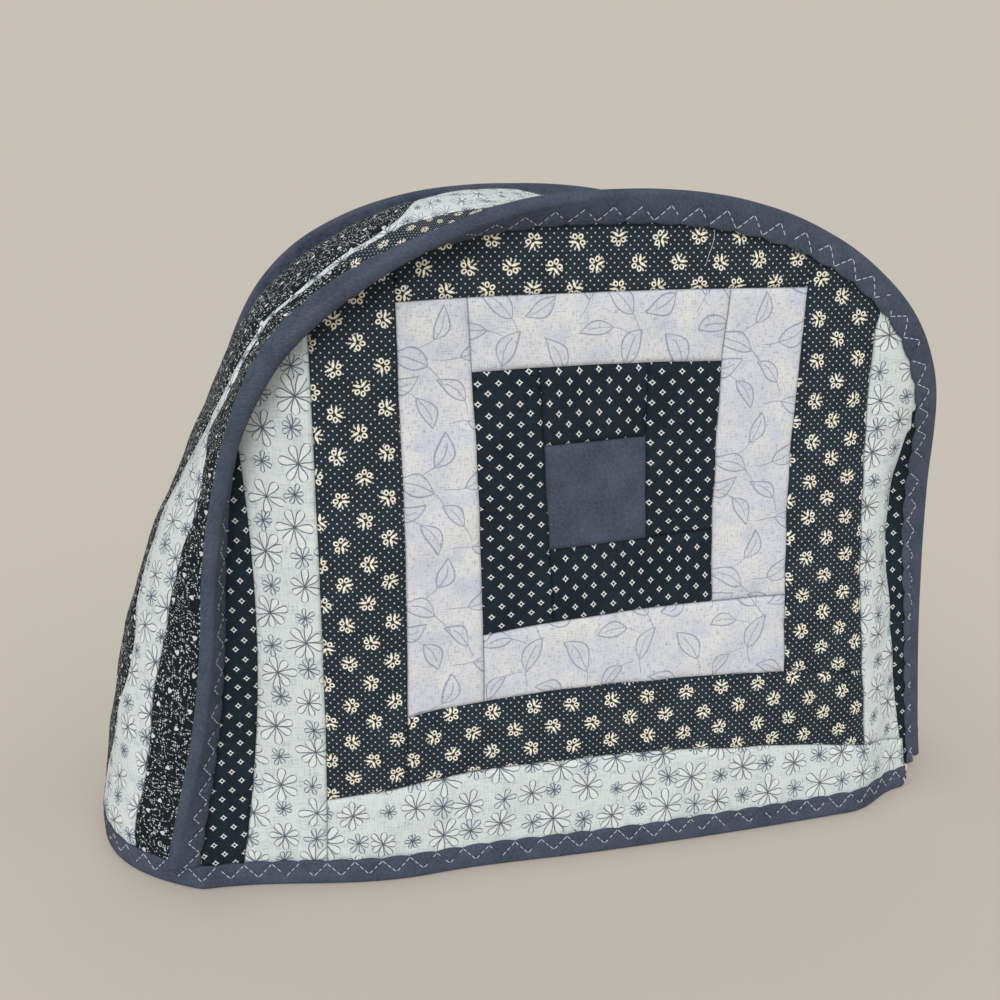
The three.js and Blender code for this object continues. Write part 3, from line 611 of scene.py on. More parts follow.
SEAM_STEPS = 640                 # sections of a seam's tape
SEAM_AT = np.linspace(FOOT_AT, 1 - FOOT_AT, SEAM_STEPS)


def seam_way(side):
    """Distance along a seam at SEAM_AT."""
    return lengths(face_place(side, *outline(SEAM_AT)))


def seam_tape_place(side, way, across, lift, rear=False):
    """A place on the outside of a seam's tape, by the distance along the seam and from the tape's
    edge on its panel or gusset side."""
    ways = seam_way(side)
    at = np.interp(way, ways, SEAM_AT)
    start = REAR_START + read(side.flange, at)["slip"] if rear else FACE_START
    out = tape_relief(way, ways[-1], across) + lift
    q = REAR_Q + out if rear else FACE_Q - out
    return flange_place(side, at, start + across, q)


TIP_REACH = 1.5                  # length of the rounded tip
FOLD_INSIDE = FLANGE - 2.2       # where the fold's inner side is
FLANGE_MIDDLE = 6.0              # a place halfway along the tape's inner sides
EDGE_ROUND = 0.15                # how far a turned-in edge is rounded


def seam_tape(name, side):
    """A folded tape round a bound seam: up the panel's side, round a half ellipse at the tip,
    down the gusset's side, and back inside."""
    ways = seam_way(side)[:, None]
    length = ways[-1, 0]
    at = SEAM_AT[:, None]
    slip = read(side.flange, at)["slip"]
    edge = FACE_START + scallop(ways, length)
    tip_middle = FLANGE - TIP_REACH
    share = np.linspace(0, 1, 15)[None]
    face_p = edge + share * (tip_middle - edge)
    face_q = FACE_Q - tape_relief(ways, length, face_p - FACE_START)
    turn = np.linspace(-TURN / 4, TURN / 4, 9)[None, 1:-1]
    middle_q, half_q = (FACE_Q + REAR_Q) / 2, (REAR_Q - FACE_Q) / 2
    tip_p = np.broadcast_to(tip_middle + TIP_REACH * np.cos(turn), (len(at), turn.size))
    tip_q = np.broadcast_to(middle_q + half_q * np.sin(turn), tip_p.shape)
    rear_edge = REAR_START + slip + scallop(ways, length)
    rear_p = rear_edge + share[:, ::-1] * (tip_middle - rear_edge)
    rear_q = REAR_Q + tape_relief(ways, length, rear_p - REAR_START - slip)
    lower, upper = FACE_Q + TAPE, REAR_Q - TAPE
    inside = ((rear_edge - EDGE_ROUND, REAR_Q - TAPE / 2), (rear_edge, upper),
              (FLANGE_MIDDLE, upper), (FOLD_INSIDE, upper), (FOLD_INSIDE, lower),
              (FLANGE_MIDDLE, lower), (edge, lower), (edge - EDGE_ROUND, FACE_Q + TAPE / 2))
    inside_p, inside_q = [np.hstack([np.broadcast_to(x, at.shape) for x in row])
                          for row in zip(*inside)]
    p = np.concatenate([face_p, tip_p, rear_p, inside_p], 1)
    q = np.concatenate([face_q, tip_q, rear_q, inside_q], 1)
    places = flange_place(side, at, p, q)
    return tape_piece(name, places, ways, side.away > 0)


def tape_piece(name, places, ways, turned, closed=False):
    """A tape's mesh from its sections, with its map along and across, and caps on open ends."""
    rows, columns = places.shape[:2]
    index = come_round(numbers(rows, columns).T).T
    quads = cells(come_round(index) if closed else index).reshape(-1, 4)
    section = np.linalg.norm(np.diff(places, axis=1, append=places[:, :1]), axis=-1).mean(0)
    v = running(section)
    u = np.append(ways, ways[-1] + ways[1] - ways[0]) if closed else ways[:, 0]
    k, j = np.divmod(np.arange(len(quads)), columns)
    cloth = np.stack([u[k[:, None] + [0, 1, 1, 0]], v[j[:, None] + [0, 0, 1, 1]]], -1) * MM
    if turned:
        quads, cloth = quads[:, ::-1], cloth[:, ::-1]
    faces, corners = quads.tolist(), cloth.reshape(-1, 2)
    if not closed:
        caps = [list(range(columns)), list(range(rows * columns - 1, (rows - 1) * columns - 1, -1))]
        faces += [cap[::-1] for cap in caps] if turned else caps
        corners = np.vstack([corners, np.zeros((2 * columns, 2))])
    return make_piece(name, places.reshape(-1, 3), faces, ["Slate cotton"], 0, corners)


HEM_STEPS = 900                  # sections of the hem's tape


def hem_ring():
    """Even places along the hem's outside at the floor, all the way round from the left front
    corner, and the level direction out of the cover at each."""
    corner = outline(CLEAR_AT)[0]
    run = np.linspace(corner, -corner, 160)
    width = np.linspace(0, 1, 120)[1:-1]
    level = np.full(run.shape, HEM_CLEAR)
    low = np.full(width.shape, CLEAR_AT)
    ring = np.concatenate([
        face_place(FRONT, run, level), gusset_place(1 - low, width),
        face_place(BACK, run[::-1], level), gusset_place(low, width)[::-1]])[:, :2]
    ring = come_round(ring)
    for _ in range(3):
        way = lengths(ring)
        even = np.linspace(0, way[-1], HEM_STEPS + 1)[:-1]
        ring = np.stack([np.interp(even, way, ring[:, n]) for n in (0, 1)], 1)
        ring = come_round((np.roll(ring, 1, 0) + ring + np.roll(ring, -1, 0)) / 3)
    ring = ring[:-1]
    along = unit(np.roll(ring, -1, 0) - np.roll(ring, 1, 0))
    outwards = np.stack([along[:, 1], -along[:, 0]], 1)
    return ring, outwards, lengths(come_round(ring))


HEM_RING, HEM_OUT, HEM_WAY = hem_ring()


def hem_place(way, off, height):
    """A place beside the hem, by the distance along it, out of it and over the floor."""
    way = np.mod(way, HEM_WAY[-1])
    x, y, a, b = [np.interp(way, HEM_WAY, c) for c in come_round(np.hstack([HEM_RING, HEM_OUT])).T]
    return np.stack([x + a * off, y + b * off, height], -1)


HEM_OUTSIDE = GAP + TAPE
HEM_INSIDE = -(HEM_CLOTH + GAP + TAPE)
HEM_ROUND = 1.3                  # rounding of the fold along the floor


def hem_tape_place(way, across, lift, rear=False):
    """A place on the hem tape's outside or inside, by the distance down from its upper edge."""
    out = tape_relief(way, HEM_WAY[-1], across) + lift
    off = HEM_INSIDE - out if rear else HEM_OUTSIDE + out
    return hem_place(way, off, HEM_BAND - across)


def hem_tape(name):
    """The same tape folded up round the hem, with a rounded fold that is flat along the floor."""
    ways = HEM_WAY[:-1, None]
    length = HEM_WAY[-1]
    drawn = scallop(ways, length) * 0.8 + 0.2
    down = np.linspace(0, 1, 13)[None] * (HEM_BAND - HEM_ROUND - drawn) + drawn
    relief = tape_relief(ways, length, down)
    round_turn = np.linspace(0, TURN / 4, 5)[None, 1:]
    fold_off = HEM_ROUND * (1 - np.cos(round_turn))
    fold_height = HEM_ROUND * (1 - np.sin(round_turn))

    def over(x):
        return np.broadcast_to(x, (len(ways), np.shape(x)[-1]))

    inner = np.repeat([[HEM_OUTSIDE - TAPE, HEM_INSIDE + TAPE]], 2, axis=1)
    inner_height = np.concatenate([HEM_BAND - drawn, over([[TAPE, TAPE]]), HEM_BAND - drawn], 1)
    off = np.concatenate([
        HEM_INSIDE - relief, over(HEM_INSIDE + fold_off), over((HEM_OUTSIDE - fold_off)[:, ::-1]),
        (HEM_OUTSIDE + relief)[:, ::-1], over(inner)], 1)
    height = np.concatenate([
        HEM_BAND - down, over(fold_height), over(fold_height[:, ::-1]),
        (HEM_BAND - down)[:, ::-1], inner_height], 1)
    places = hem_place(np.broadcast_to(ways, off.shape), off, height)
    return tape_piece(name, places, ways, True, closed=True)


# ---- Thread
THREAD = 0.18                    # radius of the sewing thread
PULLED_THROUGH = 0.1             # share of the face's stitches that show the blue thread
ASTRAY = 0.12                    # how far the zigzag's corners are out of line
# A stitch at five places: the share of its length, its lift and its radius, in thread radii.
STITCH = ((0.07, -0.9, 0.6), (0.28, 0.5, 1), (0.5, 0.9, 1), (0.72, 0.5, 1), (0.93, -0.9, 0.6))


def threads(name, paths, normals, radius, blue):
    """Short round threads, one for each path: a ring of six points square to the path at each of
    its places, with closed ends. blue tells the paths in blue thread."""
    count, steps = paths.shape[:2]
    along = unit(np.gradient(paths, axis=1))
    aside = unit(np.cross(along, normals))
    up = np.cross(aside, along)
    turn = np.arange(6) * TURN / 6
    rings = (paths[:, :, None] + radius[..., None, None] * (
        aside[:, :, None] * np.cos(turn)[:, None] + up[:, :, None] * np.sin(turn)[:, None]))
    one = numbers(steps, 6)
    quads = cells(come_round(one.T).T).reshape(-1, 4)
    base = (np.arange(count) * steps * 6)[:, None, None]
    faces = (quads[None] + base).reshape(-1, 4).tolist()
    ends = np.stack([one[0], one[-1, ::-1]])
    faces += (ends[None] + base).reshape(-1, 6).tolist()
    colour = np.concatenate([np.repeat(blue, len(quads)), np.repeat(blue, 2)])
    return make_piece(name, rings.reshape(-1, 3), faces,
                      ["Pale sewing thread", "Blue sewing thread"], colour)


def zigzag_stitches(name, place, length, seed):
    """Zigzag sewing on a tape: three short stitches to a leg, each a low arch that dips into the
    cloth at its ends. place gives a point by distance along, distance from the edge and lift.
    The bobbin's blue thread lies on the rear, and some of it is pulled through to the face."""
    draw = np.random.default_rng(seed)
    _, count = zigzag(0.0, length)
    corners = np.arange(2 * count + 1)
    way = corners * length / (2 * count)
    across = ZIG_EDGE + ZIG_HEIGHT * ((corners + 1) % 2) + draw.normal(0, ASTRAY, corners.size)
    along, rise, girth = np.transpose(STITCH)
    share = (np.arange(3)[:, None] + along) / 3
    ways = way[:-1, None, None] * (1 - share) + way[1:, None, None] * share
    down = across[:-1, None, None] * (1 - share) + across[1:, None, None] * share
    ways, down = [x.reshape(-1, len(STITCH)) for x in (ways, down)]
    lift = THREAD * rise + 0.1
    here, above = [np.concatenate([place(ways, down, lift + d, rear) for rear in (False, True)])
                   for d in (0.0, 0.5)]
    radius = THREAD * np.broadcast_to(girth, here.shape[:2])
    blue = np.concatenate([(draw.random(len(ways)) < PULLED_THROUGH) | rear
                           for rear in (False, True)])
    return threads(name, here, above - here, radius, blue)


def loose_ends(name):
    """Two snipped thread ends: a curl on the hem tape and a hair over the panel's top."""
    t = np.linspace(0, 1, 12)
    curl = hem_tape_place(372 + 7 * t + 1.5 * np.sin(5 * t), 2.2 + 3.0 * np.sin(3.4 * t),
                          0.5 + 0.9 * np.sin(np.pi * t))
    across, height = 41 - 2.2 * t + 0.4 * np.sin(5 * t), 236 - 12 * t
    hair = face_place(FRONT, across, height, -0.5 - 0.4 * np.sin(np.pi * t))
    paths = np.stack([curl, hair])
    normals = np.broadcast_to(np.array([0.0, -1.0, 0.2]), paths.shape)
    return threads(name, paths, normals, np.broadcast_to([[0.13], [0.09]], paths.shape[:2]),
                   np.zeros(2, bool))


# ---- Prints: their sizes are millimetres on the flat cloth
def linear(code):
    """A hexadecimal screen colour as Blender's linear red, green, blue and alpha."""
    value = np.array([int(code[i:i + 2], 16) for i in (1, 3, 5)]) / 255
    value = np.where(value <= 0.04045, value / 12.92, ((value + 0.055) / 1.055) ** 2.4)
    return (*value.tolist(), 1.0)


class Amount:
    """A number that changes over the cloth. Arithmetic on it adds Math nodes to its tree."""

    def __init__(self, tree, socket):
        self.tree, self.socket = tree, socket

    def math(self, operation, *values, clamp=False):
        node = self.tree.nodes.new("ShaderNodeMath")
        node.operation, node.use_clamp = operation, clamp
        for socket, value in zip(node.inputs, values):
            if isinstance(value, Amount):
                self.tree.links.new(value.socket, socket)
            else:
                socket.default_value = value
        return Amount(self.tree, node.outputs[0])

    def do(self, operation, *others):
        return self.math(operation, self, *others)

    def __add__(self, other):
        return self.do("ADD", other)

    def __sub__(self, other):
        return self.do("SUBTRACT", other)

    def __rsub__(self, other):
        return self.math("SUBTRACT", other, self)

    def __mul__(self, other):
        return self.do("MULTIPLY", other)

    def __truediv__(self, other):
        return self.do("DIVIDE", other)

    def __pow__(self, other):
        return self.do("POWER", other)

    def __abs__(self):
        return self.do("ABSOLUTE")

    def below(self, edge, blur):
        """1 under the edge and 0 over it, with a soft step of that width."""
        return self.math("MULTIPLY_ADD", self, -1 / blur, edge / blur + 0.5, clamp=True)

    def above(self, edge, blur):
        return self.math("MULTIPLY_ADD", self, 1 / blur, 0.5 - edge / blur, clamp=True)


def hypot(a, b):
    return (a * a + b * b).do("SQRT")


def directions(share):
    """Cosine and sine of a share of a full turn."""
    angle = share * TURN
    return angle.do("COSINE"), angle.do("SINE")


def strewn(x, y, first, second, reach):
    """A place moved by two random numbers, up to half of reach each way."""
    return x - (first - 0.5) * reach, y - (second - 0.5) * reach


def either(*masks):
    total = masks[0]
    for mask in masks[1:]:
        total = total.do("MAXIMUM", mask)
    return total


class Draft:
    """Writes one node group: a print, from a place on the flat cloth in metres."""

    def __init__(self, name, outputs=("Color",)):
        self.tree = bpy.data.node_groups.new(name, "ShaderNodeTree")
        face = self.tree.interface
        face.new_socket("Place", in_out="INPUT", socket_type="NodeSocketVector")
        for output in outputs:
            kind = "NodeSocketColor" if output == "Color" else "NodeSocketFloat"
            face.new_socket(output, in_out="OUTPUT", socket_type=kind)
        self.place = self.tree.nodes.new("NodeGroupInput").outputs[0]
        self.end = self.tree.nodes.new("NodeGroupOutput")
        apart = self.node("SeparateXYZ", self.place)
        self.x, self.y = [Amount(self.tree, apart.outputs[n]) * 1000.0 for n in (0, 1)]

    def node(self, kind, *inputs, **settings):
        """A new node, its settings, and its first inputs. None leaves an input alone."""
        node = self.tree.nodes.new("ShaderNode" + kind)
        for key, value in settings.items():
            setattr(node, key, value)
        for socket, value in zip(node.inputs, inputs):
            self.feed(socket, value)
        return node

    def feed(self, socket, value):
        """Gives an input an amount, another socket, a colour's code or a plain value."""
        if isinstance(value, Amount):
            value = value.socket
        elif isinstance(value, str):
            value = linear(value)
        if isinstance(value, bpy.types.NodeSocket):
            self.tree.links.new(value, socket)
        elif value is not None:
            socket.default_value = value

    def vector(self, x, y, z=0.0):
        return self.node("CombineXYZ", x, y, z).outputs[0]

    def random(self, x, y, seed):
        """Three random numbers for a pair of whole numbers."""
        noise = self.node("TexWhiteNoise", self.vector(x, y, seed), noise_dimensions="3D")
        apart = self.node("SeparateColor", noise.outputs["Color"])
        return [Amount(self.tree, out) for out in apart.outputs]

    def noise(self, x, y, detail=2.0):
        """Smooth noise about 0.5, one lump to a unit of x and y."""
        noise = self.node("TexNoise", self.vector(x, y), None, 1.0, detail, noise_dimensions="2D")
        return Amount(self.tree, noise.outputs["Fac"])

    def mix(self, share, first, second):
        node = self.node("Mix", share, data_type="RGBA")
        self.feed(node.inputs[6], first)
        self.feed(node.inputs[7], second)
        return node.outputs[2]

    def lattice(self, x, y, wide, tall):
        """Offset from the nearest point of a staggered lattice, wide and tall between points in
        a line, and that point's two whole numbers."""
        a, b = (x / wide + y / tall).do("ROUND"), (x / wide - y / tall).do("ROUND")
        return x - (a + b) * (wide / 2), y - (a - b) * (tall / 2), a, b

    def ellipse(self, x, y, x0, y0, wide, tall, turn=0.0):
        """Distance from an ellipse's middle, 1 on its edge."""
        along, aside = rotated(x - x0, y - y0, math.cos(turn), math.sin(turn))
        return hypot(along / wide, aside / tall)

    def finish(self, **outputs):
        for name, value in outputs.items():
            self.feed(self.end.inputs[name], value)
        return self.tree


def navy_ground(d, dark, light):
    """Navy cloth: fine slanting twill lines and a slow change of shade."""
    twill = d.noise((d.x + d.y) / 0.9, (d.x - d.y) / 2.5, 1.0)
    slow = d.noise(d.x / 14, d.y / 14)
    return d.mix(twill * 0.7 + slow * 0.6 - 0.25, dark, light)


def posy_print():
    """Pin dots on a staggered lattice, and on a wider one cream posies: three open petals with a
    hole, two long petals and a spray of ticks, each posy turned its own way."""
    d = Draft("Posy print")
    dot_x, dot_y, _, _ = d.lattice(d.x, d.y, 2.9, 2.9)
    dots = hypot(dot_x, dot_y).below(0.24, 0.2)
    x, y, a, b = d.lattice(d.x, d.y, 16.5, 15.0)
    first, second, third = d.random(a, b, 3.0)
    x, y = strewn(x * 1.3, y * 1.3, second, third, 1.56)
    x, y = rotated(x, y, *directions(first))
    side, out = abs(y), hypot(x, y)
    clear = out.below(3.4, 0.3)
    petals = either(d.ellipse(x, y, 2.35, 0.0, 1.35, 1.15).below(1.0, 0.2),
                    d.ellipse(x, side, 0.8, 2.2, 1.35, 1.15, 1.2).below(1.0, 0.2))
    holes = either(d.ellipse(x, y, 2.3, 0.0, 0.7, 0.52).below(1.0, 0.5),
                   d.ellipse(x, side, 0.78, 2.15, 0.7, 0.52, 1.2).below(1.0, 0.5))
    long_petals = d.ellipse(x, side, -1.5, 1.25, 1.45, 0.62, -0.95).below(1.0, 0.2)
    spokes = (y.do("ARCTAN2", x) * 11.0).do("COSINE").above(0.55, 0.5)
    ticks = spokes * out.below(4.1, 0.3) * out.above(2.5, 0.3) * x.below(0.4, 0.6)
    cream = either(petals * (1.0 - holes), long_petals, ticks * 0.9)
    ground = navy_ground(d, "#18212a", "#323e48")
    ground = d.mix(dots * (1.0 - clear) * 0.95, ground, "#e4eaee")
    ground = d.mix(out.below(1.2, 0.6) * 0.7, ground, "#2a2320")
    return d.finish(Color=d.mix(cream, ground, "#f8f4e2"))


def diamond_print():
    """Hollow four-pointed diamonds with hollowed sides on a staggered lattice over navy."""
    d = Draft("Diamond print")
    x, y, a, b = d.lattice(d.x, d.y, 7.4, 7.3)
    first, second, _ = d.random(a, b, 5.0)
    x, y = map(abs, strewn(x, y, first, second, 0.4))
    shape = (x / 1.4) ** 0.72 + (y / 1.25) ** 0.72
    hole = (x / 0.68) ** 0.9 + (y / 0.6) ** 0.9
    mark = shape.below(1.0, 0.2) * (1.0 - hole.below(1.0, 0.4))
    ground = navy_ground(d, "#0c161f", "#26333f")
    return d.finish(Color=d.mix(mark, ground, "#f2f4f4"))


# Leaves of the pale print in a repeat of 52 by 44: place of the middle, half length, half width,
# direction in degrees, bend.
LEAF_REPEAT = (52.0, 44.0)
LEAVES = ((7, 7, 7.2, 3.3, 35, 0.03), (21, 13, 6.2, 2.8, 118, -0.045),
          (35, 6, 7.4, 3.3, 160, 0.03), (46, 17, 6.0, 2.6, 70, 0.045),
          (9, 25, 6.8, 3.1, -28, -0.035), (25, 28, 7.2, 3.5, 52, 0.03),
          (41, 31, 6.4, 2.8, -62, -0.04), (15, 38, 6.0, 2.7, 100, 0.035),
          (32, 40, 6.8, 3.0, 12, 0.04), (49, 39, 5.6, 2.5, 140, 0.04))


def leaf_print():
    """Thin outlined leaves with a midrib and a trailing stalk over a clouded pale ground. A leaf's
    edge is where the distance from its bent middle line is half width x (1 - (along/half)^2),
    rounder towards the stalk."""
    d = Draft("Leaf print")
    leaf_x = d.x + d.noise(d.x / 12, d.y / 12, 0.0) * 2.4
    leaf_y = d.y + d.noise(d.x / 12 + 40.0, d.y / 12, 0.0) * 2.4
    lines, tints = [], []
    for x0, y0, half, wide, turn, bend in LEAVES:
        dx, dy = [(a - a0).do("WRAP", repeat / 2, -repeat / 2)
                  for a, a0, repeat in zip((leaf_x, leaf_y), (x0, y0), LEAF_REPEAT)]
        turn = math.radians(turn)
        along, side = rotated(dx, dy, math.cos(turn), math.sin(turn))
        side = side - along * along * bend
        far = abs(side)
        share = along / half
        edge = far + (share * share - 1.0) * (1.0 - share * 0.28) * wide
        within = abs(share).below(1.0, 0.03)
        tail = share.below(0.5, 0.1) * share.above(-1.85, 0.1)
        lines += [abs(edge).below(0.24, 0.34) * within, far.below(0.15, 0.28) * tail]
        tints.append(edge.below(0.0, 0.4) * within)
    cloud = d.noise(d.x / 17 + 9.0, d.y / 17)
    cool = d.noise(d.x / 10 + 60.0, d.y / 10)
    thread = d.noise(d.x / 0.5, d.y / 2.5, 1.0) + d.noise(d.x / 2.5, d.y / 0.5 + 7.0, 1.0)
    ground = d.mix(either(cloud * 3.0 - 1.1, 0.0), "#d3d7e1", "#e0e1e2")
    ground = d.mix(either(cool * 3.0 - 1.5, either(*tints) * 0.3), ground, "#c6cddc")
    ground = d.mix(either(thread * 1.6 - 1.6, 0.0), ground, "#9aa1ac")
    return d.finish(Color=d.mix(either(*lines) * 0.75, ground, "#747f98"))


def daisies(d, x, y, seed, small, large):
    """Outlined daisies on a staggered lattice: the angle is folded to one of five to eight petals,
    each a drop of its own length, as wide as along x sqrt(1 - along^4). Gives the masks of petals
    and of lines."""
    x, y, a, b = d.lattice(x, y, 24.0, 22.0)
    first, second, third = d.random(a, b, seed)
    x, y = strewn(x, y, second, third, 3.0)
    size = first * (large - small) + small
    count = (third * 2.4 + 5.9).do("FLOOR")
    part = (y.do("ARCTAN2", x) / TURN + first * 3.0) * count
    number = part.do("FLOOR")
    wrapped = number.do("FLOORED_MODULO", count)
    grow, twist, _ = d.random(wrapped + a * 7.0, b, seed + 1.0)
    forward, sideways = directions((part - number - 0.5 + (twist - 0.5) * 0.22) / count)
    distance = hypot(x, y)
    along, side = distance * forward, abs(distance * sideways)
    reach = size * (grow * 0.3 + 0.78)
    share = along / reach
    full = either(1.0 - share ** 4.0, 0.0).do("SQRT")
    petal = side - either(share, 0.0) * full * size * 0.31
    ends = share.below(1.03, 0.04) * share.above(0.0, 0.04)
    edge = abs(petal).below(0.19, 0.22) * ends
    return petal.below(0.0, 0.2) * ends, either(edge, distance.below(0.45, 0.5))


def daisy_print():
    """Large daisies and, between them, small ones, in slate line over white linen."""
    d = Draft("Daisy print")
    x, y = d.x + d.noise(d.x / 4, d.y / 4) * 0.8, d.y + d.noise(d.x / 4 + 30.0, d.y / 4) * 0.8
    big, big_line = daisies(d, x, y, 7.0, 5.6, 8.0)
    little, little_line = daisies(d, x + 12.0, y, 11.0, 3.2, 5.0)
    warp = d.noise(d.x / 0.45, d.y / 5, 1.0)
    weft = d.noise(d.x / 5 + 20.0, d.y / 0.45, 1.0)
    stain = d.noise(d.x / 8, d.y / 8 + 50.0)
    grey = (warp + weft - 0.97) * 1.5 + (stain - 0.5) * 0.9
    ground = d.mix(either(grey, 0.0), "#d9e1e2", "#a2afb6")
    ground = d.mix(big * 0.35, ground, "#f3f7f6")
    ground = d.mix(little * 0.35, ground, "#c2cfe0")
    return d.finish(Color=d.mix(either(big_line, little_line) * 0.95, ground, "#3f485c"))


def vine_print():
    """Fine white dots strung along winding lines on near black, a few larger ones between, and
    small hearts on a wide lattice. The lines are levels of a smooth noise. A heart is a circle
    whose middle is lifted by its distance from the axis."""
    d = Draft("Vine print")
    levels = d.noise(d.x / 10, d.y / 10, 1.0) * 9.0
    winding = abs(levels - levels.do("ROUND")).below(0.15, 0.12)
    dots = []
    for spacing, radius, wanted, seed in ((0.95, 0.26, None, 0.0), (2.6, 0.36, 0.45, 8.0)):
        spots = d.node("TexVoronoi", d.vector(d.x / spacing + seed, d.y / spacing), None, 1.0,
                       voronoi_dimensions="2D", feature="F1")
        spots.inputs["Randomness"].default_value = 0.6
        chance = Amount(d.tree, d.node("SeparateColor", spots.outputs["Color"]).outputs[0])
        dot = (Amount(d.tree, spots.outputs["Distance"]) * spacing - radius).below(0.0, 0.22)
        dots.append(dot * (winding if wanted is None else chance.below(wanted, 0.02)))
    x, y, a, b = d.lattice(d.x, d.y, 17.0, 16.0)
    first, second, third = d.random(a, b, 13.0)
    x, y = rotated(*strewn(x, y, second, third, 5.0), *directions(first))
    heart = hypot(x, y - abs(x) * 0.75).below(0.95, 0.2)
    clear = hypot(x, y).below(1.7, 0.4)
    white = either(either(*dots) * (1.0 - clear), heart)
    ground = navy_ground(d, "#080e14", "#1b252d")
    return d.finish(Color=d.mix(white * 0.9, ground, "#dfe5e8"))


def slate_cloth():
    """Plain dyed cotton: a slow change of shade and fine thread marks."""
    d = Draft("Slate cloth")
    slow = d.noise(d.x / 12, d.y / 12)
    thread = d.noise((d.x + d.y) / 0.8, (d.x - d.y) / 2.4, 1.0)
    shade = slow * 0.7 + thread * 0.9 - 0.3
    return d.finish(Color=d.mix(shade, "#343b4a", "#565e72"))


def lining_cloth():
    """Undyed cotton with faint thread marks."""
    d = Draft("Lining cloth")
    marks = d.noise(d.x / 0.8, d.y / 6, 1.0) + d.noise(d.x / 6, d.y / 0.8, 1.0)
    return d.finish(Color=d.mix(marks * 0.5, "#cfcbc0", "#e2dfd6"))


WEAVE_PITCH = 0.62               # two threads of the weave


def weave():
    """The weave's relief: two sets of threads crossing, and a little unevenness."""
    d = Draft("Weave", ("Height",))
    over, under = [(a * (TURN / WEAVE_PITCH)).do("SINE") for a in (d.x, d.y)]
    return d.finish(Height=over * under * 0.5 + d.noise(d.x / 0.9, d.y / 0.9))


def plain_material(name, code, roughness):
    material = bpy.data.materials.new(name)
    material.use_nodes = True
    shader = material.node_tree.nodes["Principled BSDF"]
    shader.inputs["Base Color"].default_value = linear(code)
    shader.inputs["Roughness"].default_value = roughness
    shader.inputs["Specular IOR Level"].default_value = 0.25
    return material


# Painted shade in the seams between patches: the cloth's colour is multiplied by this there.
PAINTED_SEAM_SHADE = (0.3, 0.31, 0.34, 1.0)


def cloth_material(name, colours, relief):
    """Cotton: a print's colours by the piece's Cloth map, darkened by painted shade in the seams
    between patches, and the weave as a bump."""
    tree = plain_material(name, "#ffffff", 0.9).node_tree
    shader = tree.nodes["Principled BSDF"]
    place = tree.nodes.new("ShaderNodeUVMap")
    place.uv_map = "Cloth"
    groups = []
    for group in (colours, relief):
        node = tree.nodes.new("ShaderNodeGroup")
        node.node_tree = group
        tree.links.new(place.outputs[0], node.inputs["Place"])
        groups.append(node)
    bump = tree.nodes.new("ShaderNodeBump")
    bump.inputs["Strength"].default_value = 0.35
    bump.inputs["Distance"].default_value = 0.0002
    # Painted shade: the seam mask darkens the print's colour in the seams between patches.
    seam = tree.nodes.new("ShaderNodeAttribute")
    seam.attribute_name = "Seam"
    painted_seam_shade_mix = tree.nodes.new("ShaderNodeMix")
    painted_seam_shade_mix.data_type, painted_seam_shade_mix.blend_type = "RGBA", "MULTIPLY"
    painted_seam_shade_mix.inputs[7].default_value = PAINTED_SEAM_SHADE
    tree.links.new(seam.outputs["Fac"], painted_seam_shade_mix.inputs[0])
    tree.links.new(groups[0].outputs["Color"], painted_seam_shade_mix.inputs[6])
    tree.links.new(painted_seam_shade_mix.outputs[2], shader.inputs["Base Color"])
    tree.links.new(groups[1].outputs["Height"], bump.inputs["Height"])
    tree.links.new(bump.outputs["Normal"], shader.inputs["Normal"])


WEAVE = weave()
for cotton, paint in (("Slate cotton", slate_cloth), ("Navy diamond print", diamond_print),
                      ("Pale leaf print", leaf_print), ("Navy posy print", posy_print),
                      ("Daisy print", daisy_print), ("Heart and vine print", vine_print),
                      ("Plain lining cotton", lining_cloth)):
    cloth_material(cotton, paint(), WEAVE)
plain_material("Pale sewing thread", "#c6ccd8", 0.7)
plain_material("Blue sewing thread", "#4c5671", 0.7)

# ---- The cover
front = patchwork("front_patchwork", FRONT, 41)
back = patchwork("back_patchwork", BACK, 57)
gusset = gusset_strips("gusset_strips")
front_tape = seam_tape("front_seam_tape", FRONT)
back_tape = seam_tape("back_seam_tape", BACK)
bottom_tape = hem_tape("hem_tape")
front_stitches, back_stitches = [
    zigzag_stitches(name, partial(seam_tape_place, side), seam_way(side)[-1], seed)
    for name, side, seed in (("front_seam_stitches", FRONT, 3), ("back_seam_stitches", BACK, 4))]
hem_stitches = zigzag_stitches("hem_stitches", hem_tape_place, HEM_WAY[-1], 5)
snips = loose_ends("loose_thread_ends")

for piece, node, slot in ((front, "front_panel", "panel_patchwork"),
                          (back, "back_panel", "panel_patchwork"),
                          (gusset, "gusset", "gusset_patchwork"),
                          (front_tape, "front_seam_binding", "binding_cotton"),
                          (back_tape, "back_seam_binding", "binding_cotton"),
                          (bottom_tape, "hem_binding", "binding_cotton")):
    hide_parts(node)
for piece in (front, back, gusset, front_tape, back_tape, bottom_tape, front_stitches,
              back_stitches, hem_stitches, snips):
    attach(piece, "root")


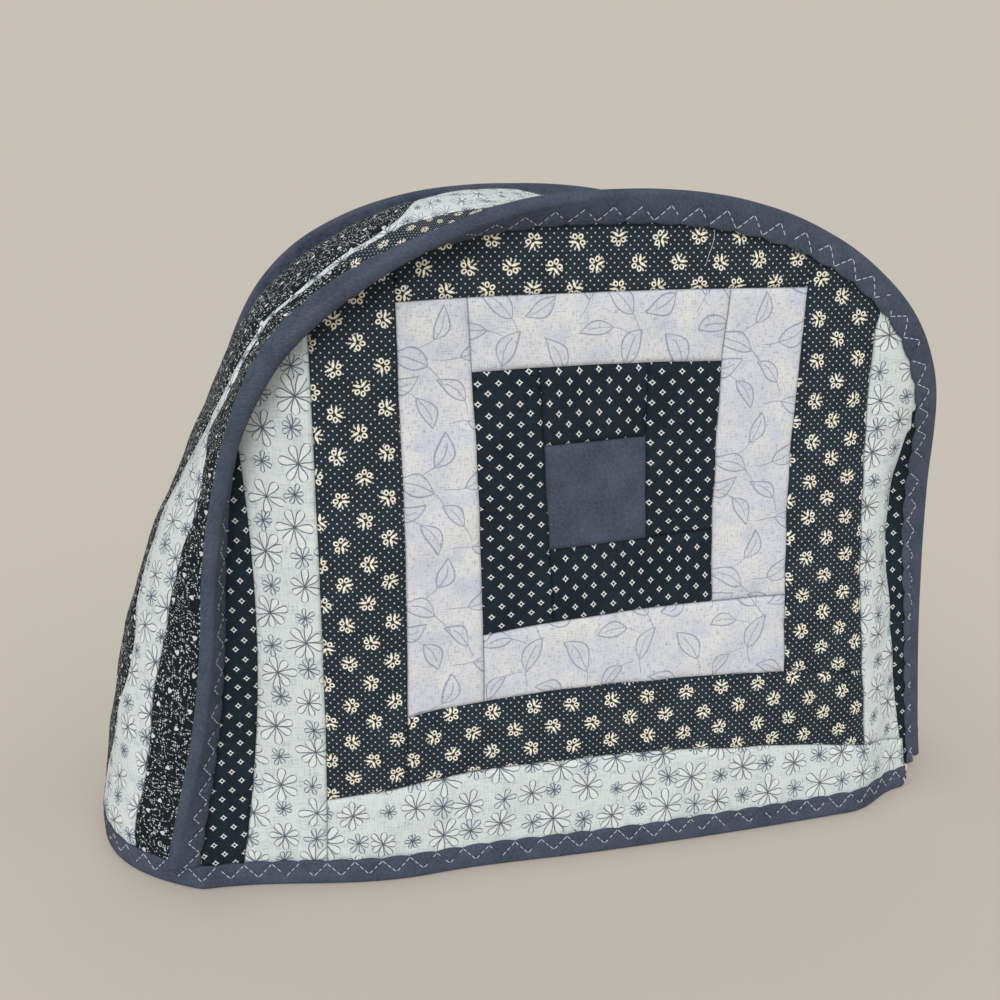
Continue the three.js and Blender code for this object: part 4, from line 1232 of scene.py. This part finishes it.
# ---- Floor, light and camera
FLOOR_RADIUS = 9000.0             # past every view

plain_material("Pale floor", "#d2cbc0", 1.0)
turn = np.linspace(0, TURN, 97)[:-1]
rim = np.stack([np.cos(turn), np.sin(turn), 0 * turn], 1) * FLOOR_RADIUS
make_piece("floor", rim, [list(range(len(rim)))], ["Pale floor"])

world = bpy.data.worlds.new("Soft room")
bpy.context.scene.world = world
world.use_nodes = True
nodes, links = world.node_tree.nodes, world.node_tree.links
soft, seen = nodes["Background"], nodes.new("ShaderNodeBackground")
either_one = nodes.new("ShaderNodeMixShader")
soft.inputs["Color"].default_value = (1.0, 0.99, 0.97, 1.0)
soft.inputs["Strength"].default_value = 0.58
seen.inputs["Color"].default_value = linear("#c8c1b5")
path = nodes.new("ShaderNodeLightPath")
links.new(path.outputs["Is Camera Ray"], either_one.inputs[0])
links.new(soft.outputs[0], either_one.inputs[1])
links.new(seen.outputs[0], either_one.inputs[2])
links.new(either_one.outputs[0], nodes["World Output"].inputs["Surface"])


def stand(name, data, right, up, back, position):
    """An object for a lamp or a camera, which looks away from its back."""
    thing = bpy.data.objects.new(name, data)
    bpy.context.scene.collection.objects.link(thing)
    axes = np.column_stack([right, up, back, position])
    thing.matrix_world = Matrix([*axes.tolist(), [0, 0, 0, 1]])
    return thing


# A wide soft sun that shines from the front, the left and above.
WINDOW = np.array([-0.55, -1.5, 1.1])

sun = bpy.data.lights.new("window", "SUN")
sun.energy, sun.angle, sun.color = 1.7, math.radians(35), (1.0, 0.99, 0.97)
away = unit(WINDOW)
aside = unit(np.cross([0, 0, 1.0], away))
stand("window", sun, aside, np.cross(away, aside), away, WINDOW)

view = bpy.data.cameras.new("view")
view.lens, view.sensor_width = 41.4, 36.0
view.clip_start, view.clip_end = 0.01, 50.0
camera = stand("view", view, right=(0.96581, -0.25923, 0.00171), up=(0.07300, 0.27828, 0.95772),
               back=(-0.24875, -0.92486, 0.28769), position=(-0.1334, -0.44978, 0.26034))
bpy.context.scene.camera = camera
bpy.context.scene.view_settings.view_transform = "Standard"
